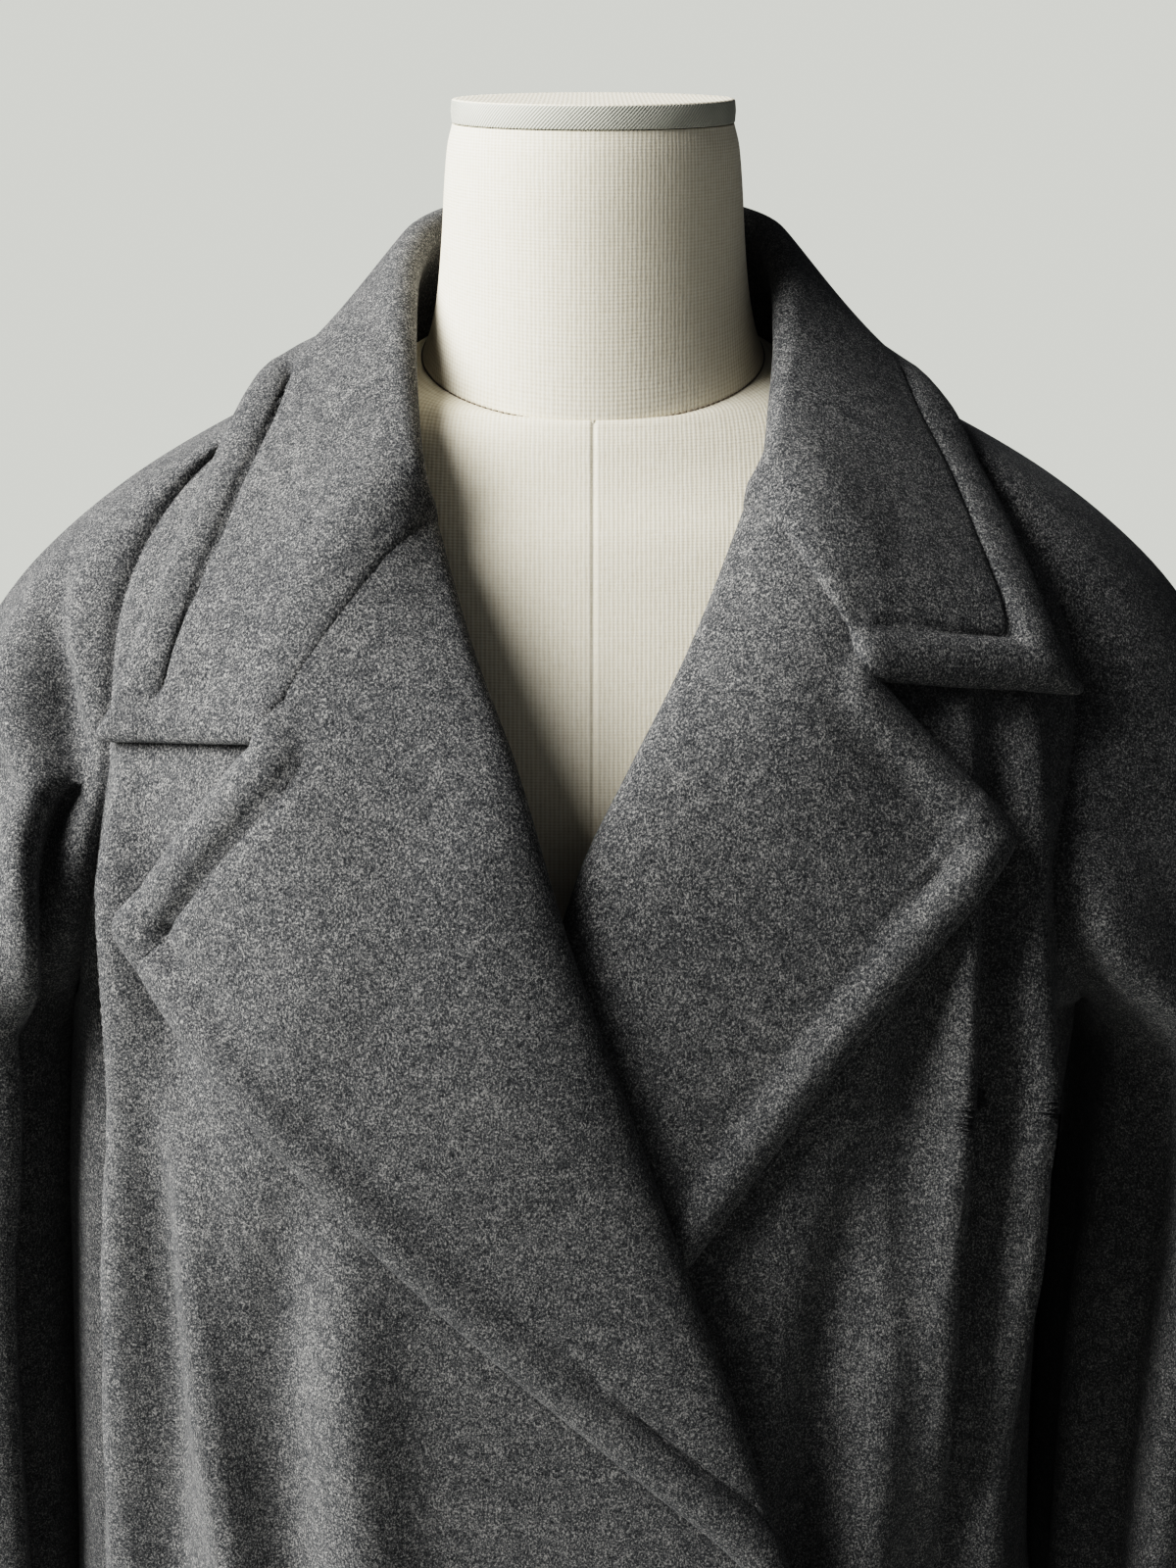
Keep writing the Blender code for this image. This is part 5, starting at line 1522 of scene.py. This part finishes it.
# %% The form's measures
FORM = table(
    "z width front back square shift tilt",
    (0.78, 0.15, 0.092, 0.1, 2.3, 0.0, 0.0), (0.85, 0.168, 0.102, 0.115, 2.3, 0.0, 0.0),
    (0.95, 0.152, 0.095, 0.094, 2.3, 0.0, 0.0), (1.04, 0.126, 0.09, 0.08, 2.2, 0.0, 0.0),
    (1.12, 0.142, 0.106, 0.088, 2.3, 0.0, 0.0), (1.19, 0.16, 0.121, 0.098, 2.3, 0.0, 0.0),
    (1.25, 0.166, 0.113, 0.102, 2.3, 0.0, 0.0), (1.3, 0.172, 0.098, 0.101, 2.2, 0.0, 0.02),
    (1.345, 0.1745, 0.085, 0.09, 2.15, 0.0, 0.05), (1.372, 0.166, 0.077, 0.08, 2.1, 0.0, 0.07),
    (1.388, 0.15, 0.07, 0.073, 2.05, 0.0, 0.09), (1.4, 0.129, 0.066, 0.068, 2.0, 0.0, 0.11),
    (1.41, 0.107, 0.063, 0.063, 2.0, 0.0, 0.12), (1.4172, 0.086, 0.0605, 0.061, 2.0, 0.0, 0.14),
    (1.424, 0.0665, 0.06, 0.063, 2.0, 0.0, 0.27),
)
NECK = table(
    "z y width depth tilt",
    (1.4247, 0.0065, 0.0663, 0.0613, 0.27), (1.434, 0.006, 0.063, 0.0598, 0.2),
    (1.45, 0.005, 0.0598, 0.0583, 0.12), (1.47, 0.003, 0.0577, 0.0565, 0.05),
    (1.49, 0.001, 0.0562, 0.0552, 0.01), (1.503, 0.0003, 0.0548, 0.054, 0.0),
    (1.511, 0.0, 0.0528, 0.0524, 0.0),
)
GROOVE, GROOVE_WIDTH = 0.0005, 0.0007


def form_point(turn, z):
    point = section(FORM, turn, z)
    point[..., 2] += read(FORM, "z", z, "tilt") * (point[..., 1] - AXIS_Y)
    return point


def neck_point(turn, z):
    ahead = read(NECK, "z", z, "depth") * np.cos(np.radians(turn))
    return points(read(NECK, "z", z, "width") * np.sin(np.radians(turn)),
                  read(NECK, "z", z, "y") - ahead, z - read(NECK, "z", z, "tilt") * ahead)


def ring_turns(count):
    """Turns round a form from the back to the back, closer together at the seams."""
    close = np.array([0, 0.25, 0.5, 0.8, 1.2, 1.8, 2.8])
    half = np.concatenate([close, np.linspace(2.8, 177.2, count)[1:-1], 180 - close[::-1]])
    return np.concatenate([half - 180, half[1:]])[None, :]


def linen_rings(name, node, place, heights, seam_turns):
    """A closed linen body through rings of points, with grooves where it is seamed."""
    turn = ring_turns(60)
    z = np.array(heights)[::-1, None]
    grid = place(turn, z)
    steps = np.linalg.norm(np.diff(grid, axis=1), axis=2)
    around = np.pad(np.cumsum(steps, axis=1), ((0, 0), (1, 0)))
    around = around - around[:, [around.shape[1] // 2]]
    cloth_map = np.stack(np.broadcast_arrays(around, z), axis=-1)
    normal = facing(grid, False)
    radius = np.linalg.norm(grid[..., :2] - [0, AXIS_Y], axis=2)
    for seam_turn in seam_turns:
        off = np.radians((turn - seam_turn + 180) % 360 - 180) * radius
        grid = grid - normal * (GROOVE * bell(off, GROOVE_WIDTH))[..., None]
    grid[:, -1] = grid[:, 0]
    bm = woven_grid(grid, False, cloth_map=cloth_map)
    rims = [e for e in bm.edges if e.is_boundary]
    bmesh.ops.holes_fill(bm, edges=rims, sides=0)
    made = link(name, bm, linen)
    made.data.set_sharp_from_angle(angle=math.radians(50))
    return settle(made, node)


TORSO_HEIGHTS = np.concatenate([np.linspace(0.78, 1.3, 90), np.linspace(1.304, 1.4236, 40)])
NECK_HEIGHTS = np.concatenate([[1.4247, 1.4249, 1.4253, 1.426], np.linspace(1.4275, 1.511, 40)])
torso = linen_rings("form_torso_linen", "form_torso", form_point, TORSO_HEIGHTS, (0, 180))
linen_rings("form_neck_linen", "form_neck", neck_point, NECK_HEIGHTS, (180,))

# %% Stitches round the neck's base
STITCH = 0.0026
STITCH_RADIUS = 0.00032
STITCH_PROUD = 0.00015
STITCH_ENDS = (0.08, 0.8)       # shares of its length between which each one shows
NECK_Y = 0.006
seam_line = neck_point(np.linspace(0, 360, 721), np.array(1.4246))
walked = np.pad(np.cumsum(np.linalg.norm(np.diff(seam_line, axis=0), axis=1)), (1, 0))
count = int(walked[-1] / STITCH)
bm = bmesh.new()
for k in range(count):
    a, b = (Vector([np.interp((k + part) * walked[-1] / count, walked, seam_line[:, axis])
                    for axis in range(3)]) for part in STITCH_ENDS)
    outwards = Vector((a.x, a.y - NECK_Y, 0)).normalized() * STITCH_PROUD
    turn = (b - a).to_track_quat("Z", "Y").to_matrix().to_4x4()
    place = Matrix.Translation((a + b) / 2 + outwards) @ turn
    rod(bm, STITCH_RADIUS, (b - a).length, place, 6)
settle(link("neck_seam_stitches", bm, thread))
print("form:", len(torso.data.vertices), "points,", count, "stitches round the neck")

# %% [markdown]
# The cap and the stand are turned pieces, so each is a profile spun round the Z axis: a
# taped cap with a softly rounded rim, a steel pole with a collar where it enters the foot,
# and a heavy flat foot whose edge is rounded so that it doesn't catch.

# %% Cap, pole and foot
def turned(name, slot, node, profile, steps, *materials, uv=None):
    bm = spun(profile, steps)
    if uv:
        uv(bm)
    made = link(name, bm, *materials)
    made.data.set_sharp_from_angle(angle=math.radians(40))
    return settle(made, node)


def tape_round_linen(bm):
    """Linen on the flat top, and tape whose map runs on round the rim."""
    layer = bm.loops.layers.uv.new("thread")
    for part in bm.faces:
        centre = part.calc_center_median()
        part.material_index = 1 if centre.z > cap_high[2] - 0.0005 else 0
        middle = math.atan2(centre.y, centre.x)
        for loop in part.loops:
            co = loop.vert.co
            swing = math.atan2(co.y, co.x) - middle
            swing = (swing + math.pi) % (2 * math.pi) - math.pi
            on_tape = ((middle + swing) * cap_high[0], co.z)
            loop[layer].uv = (co.x, co.y) if part.material_index else on_tape


cap_low, cap_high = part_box("neck_cap")
r, top, rim = cap_high[0], cap_high[2], 0.0012
profile = [(0.0, top - 0.0004), (r - 0.006, top - 0.0004),
           *arc((r - rim, top - rim), rim, 90, 0, 6),
           (r + 0.0003, (cap_low[2] + top) / 2),
           *arc((r - rim / 2, cap_low[2] + rim / 2), rim / 2, 0, -90, 4), (0.0, cap_low[2])]
turned("form_cap_taped", "tape", "neck_cap", profile, 160, tape, linen, uv=tape_round_linen)

pole_low, pole_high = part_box("pole")
r, low = pole_high[0], pole_low[2]
sleeve_top, sleeve_wall, rim = low + 0.04, 0.0045, 0.002
profile = [(0.0, pole_high[2]), (r, pole_high[2]), (r, sleeve_top),
           *arc((r + sleeve_wall - rim, sleeve_top - rim), rim, 90, 0, 5),
           (r + sleeve_wall, low), (0.0, low)]
turned("stand_pole", "steel", "pole", profile, 96, steel)

_, foot_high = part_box("foot")
r, top = foot_high[0], foot_high[2]
profile = [(0.0, top), (0.022, top), *arc((0.024, top - 0.006), 0.006, 90, 0, 6), (0.034, 0.018),
           (0.045, 0.0155), (0.15, 0.011), *arc((r - 0.004, 0.005), 0.004, 75, -90, 8), (0.0, 0.0)]
turned("stand_foot", "iron", "foot", profile, 160, iron)
print("cap, pole and foot:", [round(v, 4) for v in (cap_high[0], pole_high[0], foot_high[0])])

# %% Floor
bm = bmesh.new()
bmesh.ops.create_circle(bm, cap_ends=True, segments=128, radius=3.0)
floor = link("floor", bm, pale)
floor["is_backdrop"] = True

# %% [markdown]
# Every sheet of cloth states the size that it was cut to. A panel's rectangle is the one
# that a cutter would mark on the cloth, and its area is what is left after the curves of
# the armhole, the neck and the side have been cut away.


# %% What was cut
for name, grid in cut_cloth.items():
    diagonals = np.cross(grid[1:, 1:] - grid[:-1, :-1], grid[1:, :-1] - grid[:-1, 1:])
    area = np.linalg.norm(diagonals, axis=2).sum() / 2
    across, down = (np.linalg.norm(np.diff(grid, axis=axis), axis=2).sum(axis=axis).max()
                    for axis in (1, 0))
    print(name, "area", round(area, 4), "flat", round(across, 3), "by", round(down, 3))

for name, flat, area, below in (
    ("lapel_right", (0.22, 0.455), 0.048, ["coat_front_right"]),
    ("lapel_left", (0.18, 0.455), 0.044, ["coat_front_left"]),
    ("collar", (0.2, 0.74), 0.082, ["coat_back", "coat_front_right", "coat_front_left"]),
):
    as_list(below)

# %% Sizes, and the end
low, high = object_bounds()
{"cad": [list(solid_low), list(solid_high)], "visual": [list(low), list(high)]}
print("visual from", [round(v, 4) for v in low], "to", [round(v, 4) for v in high])
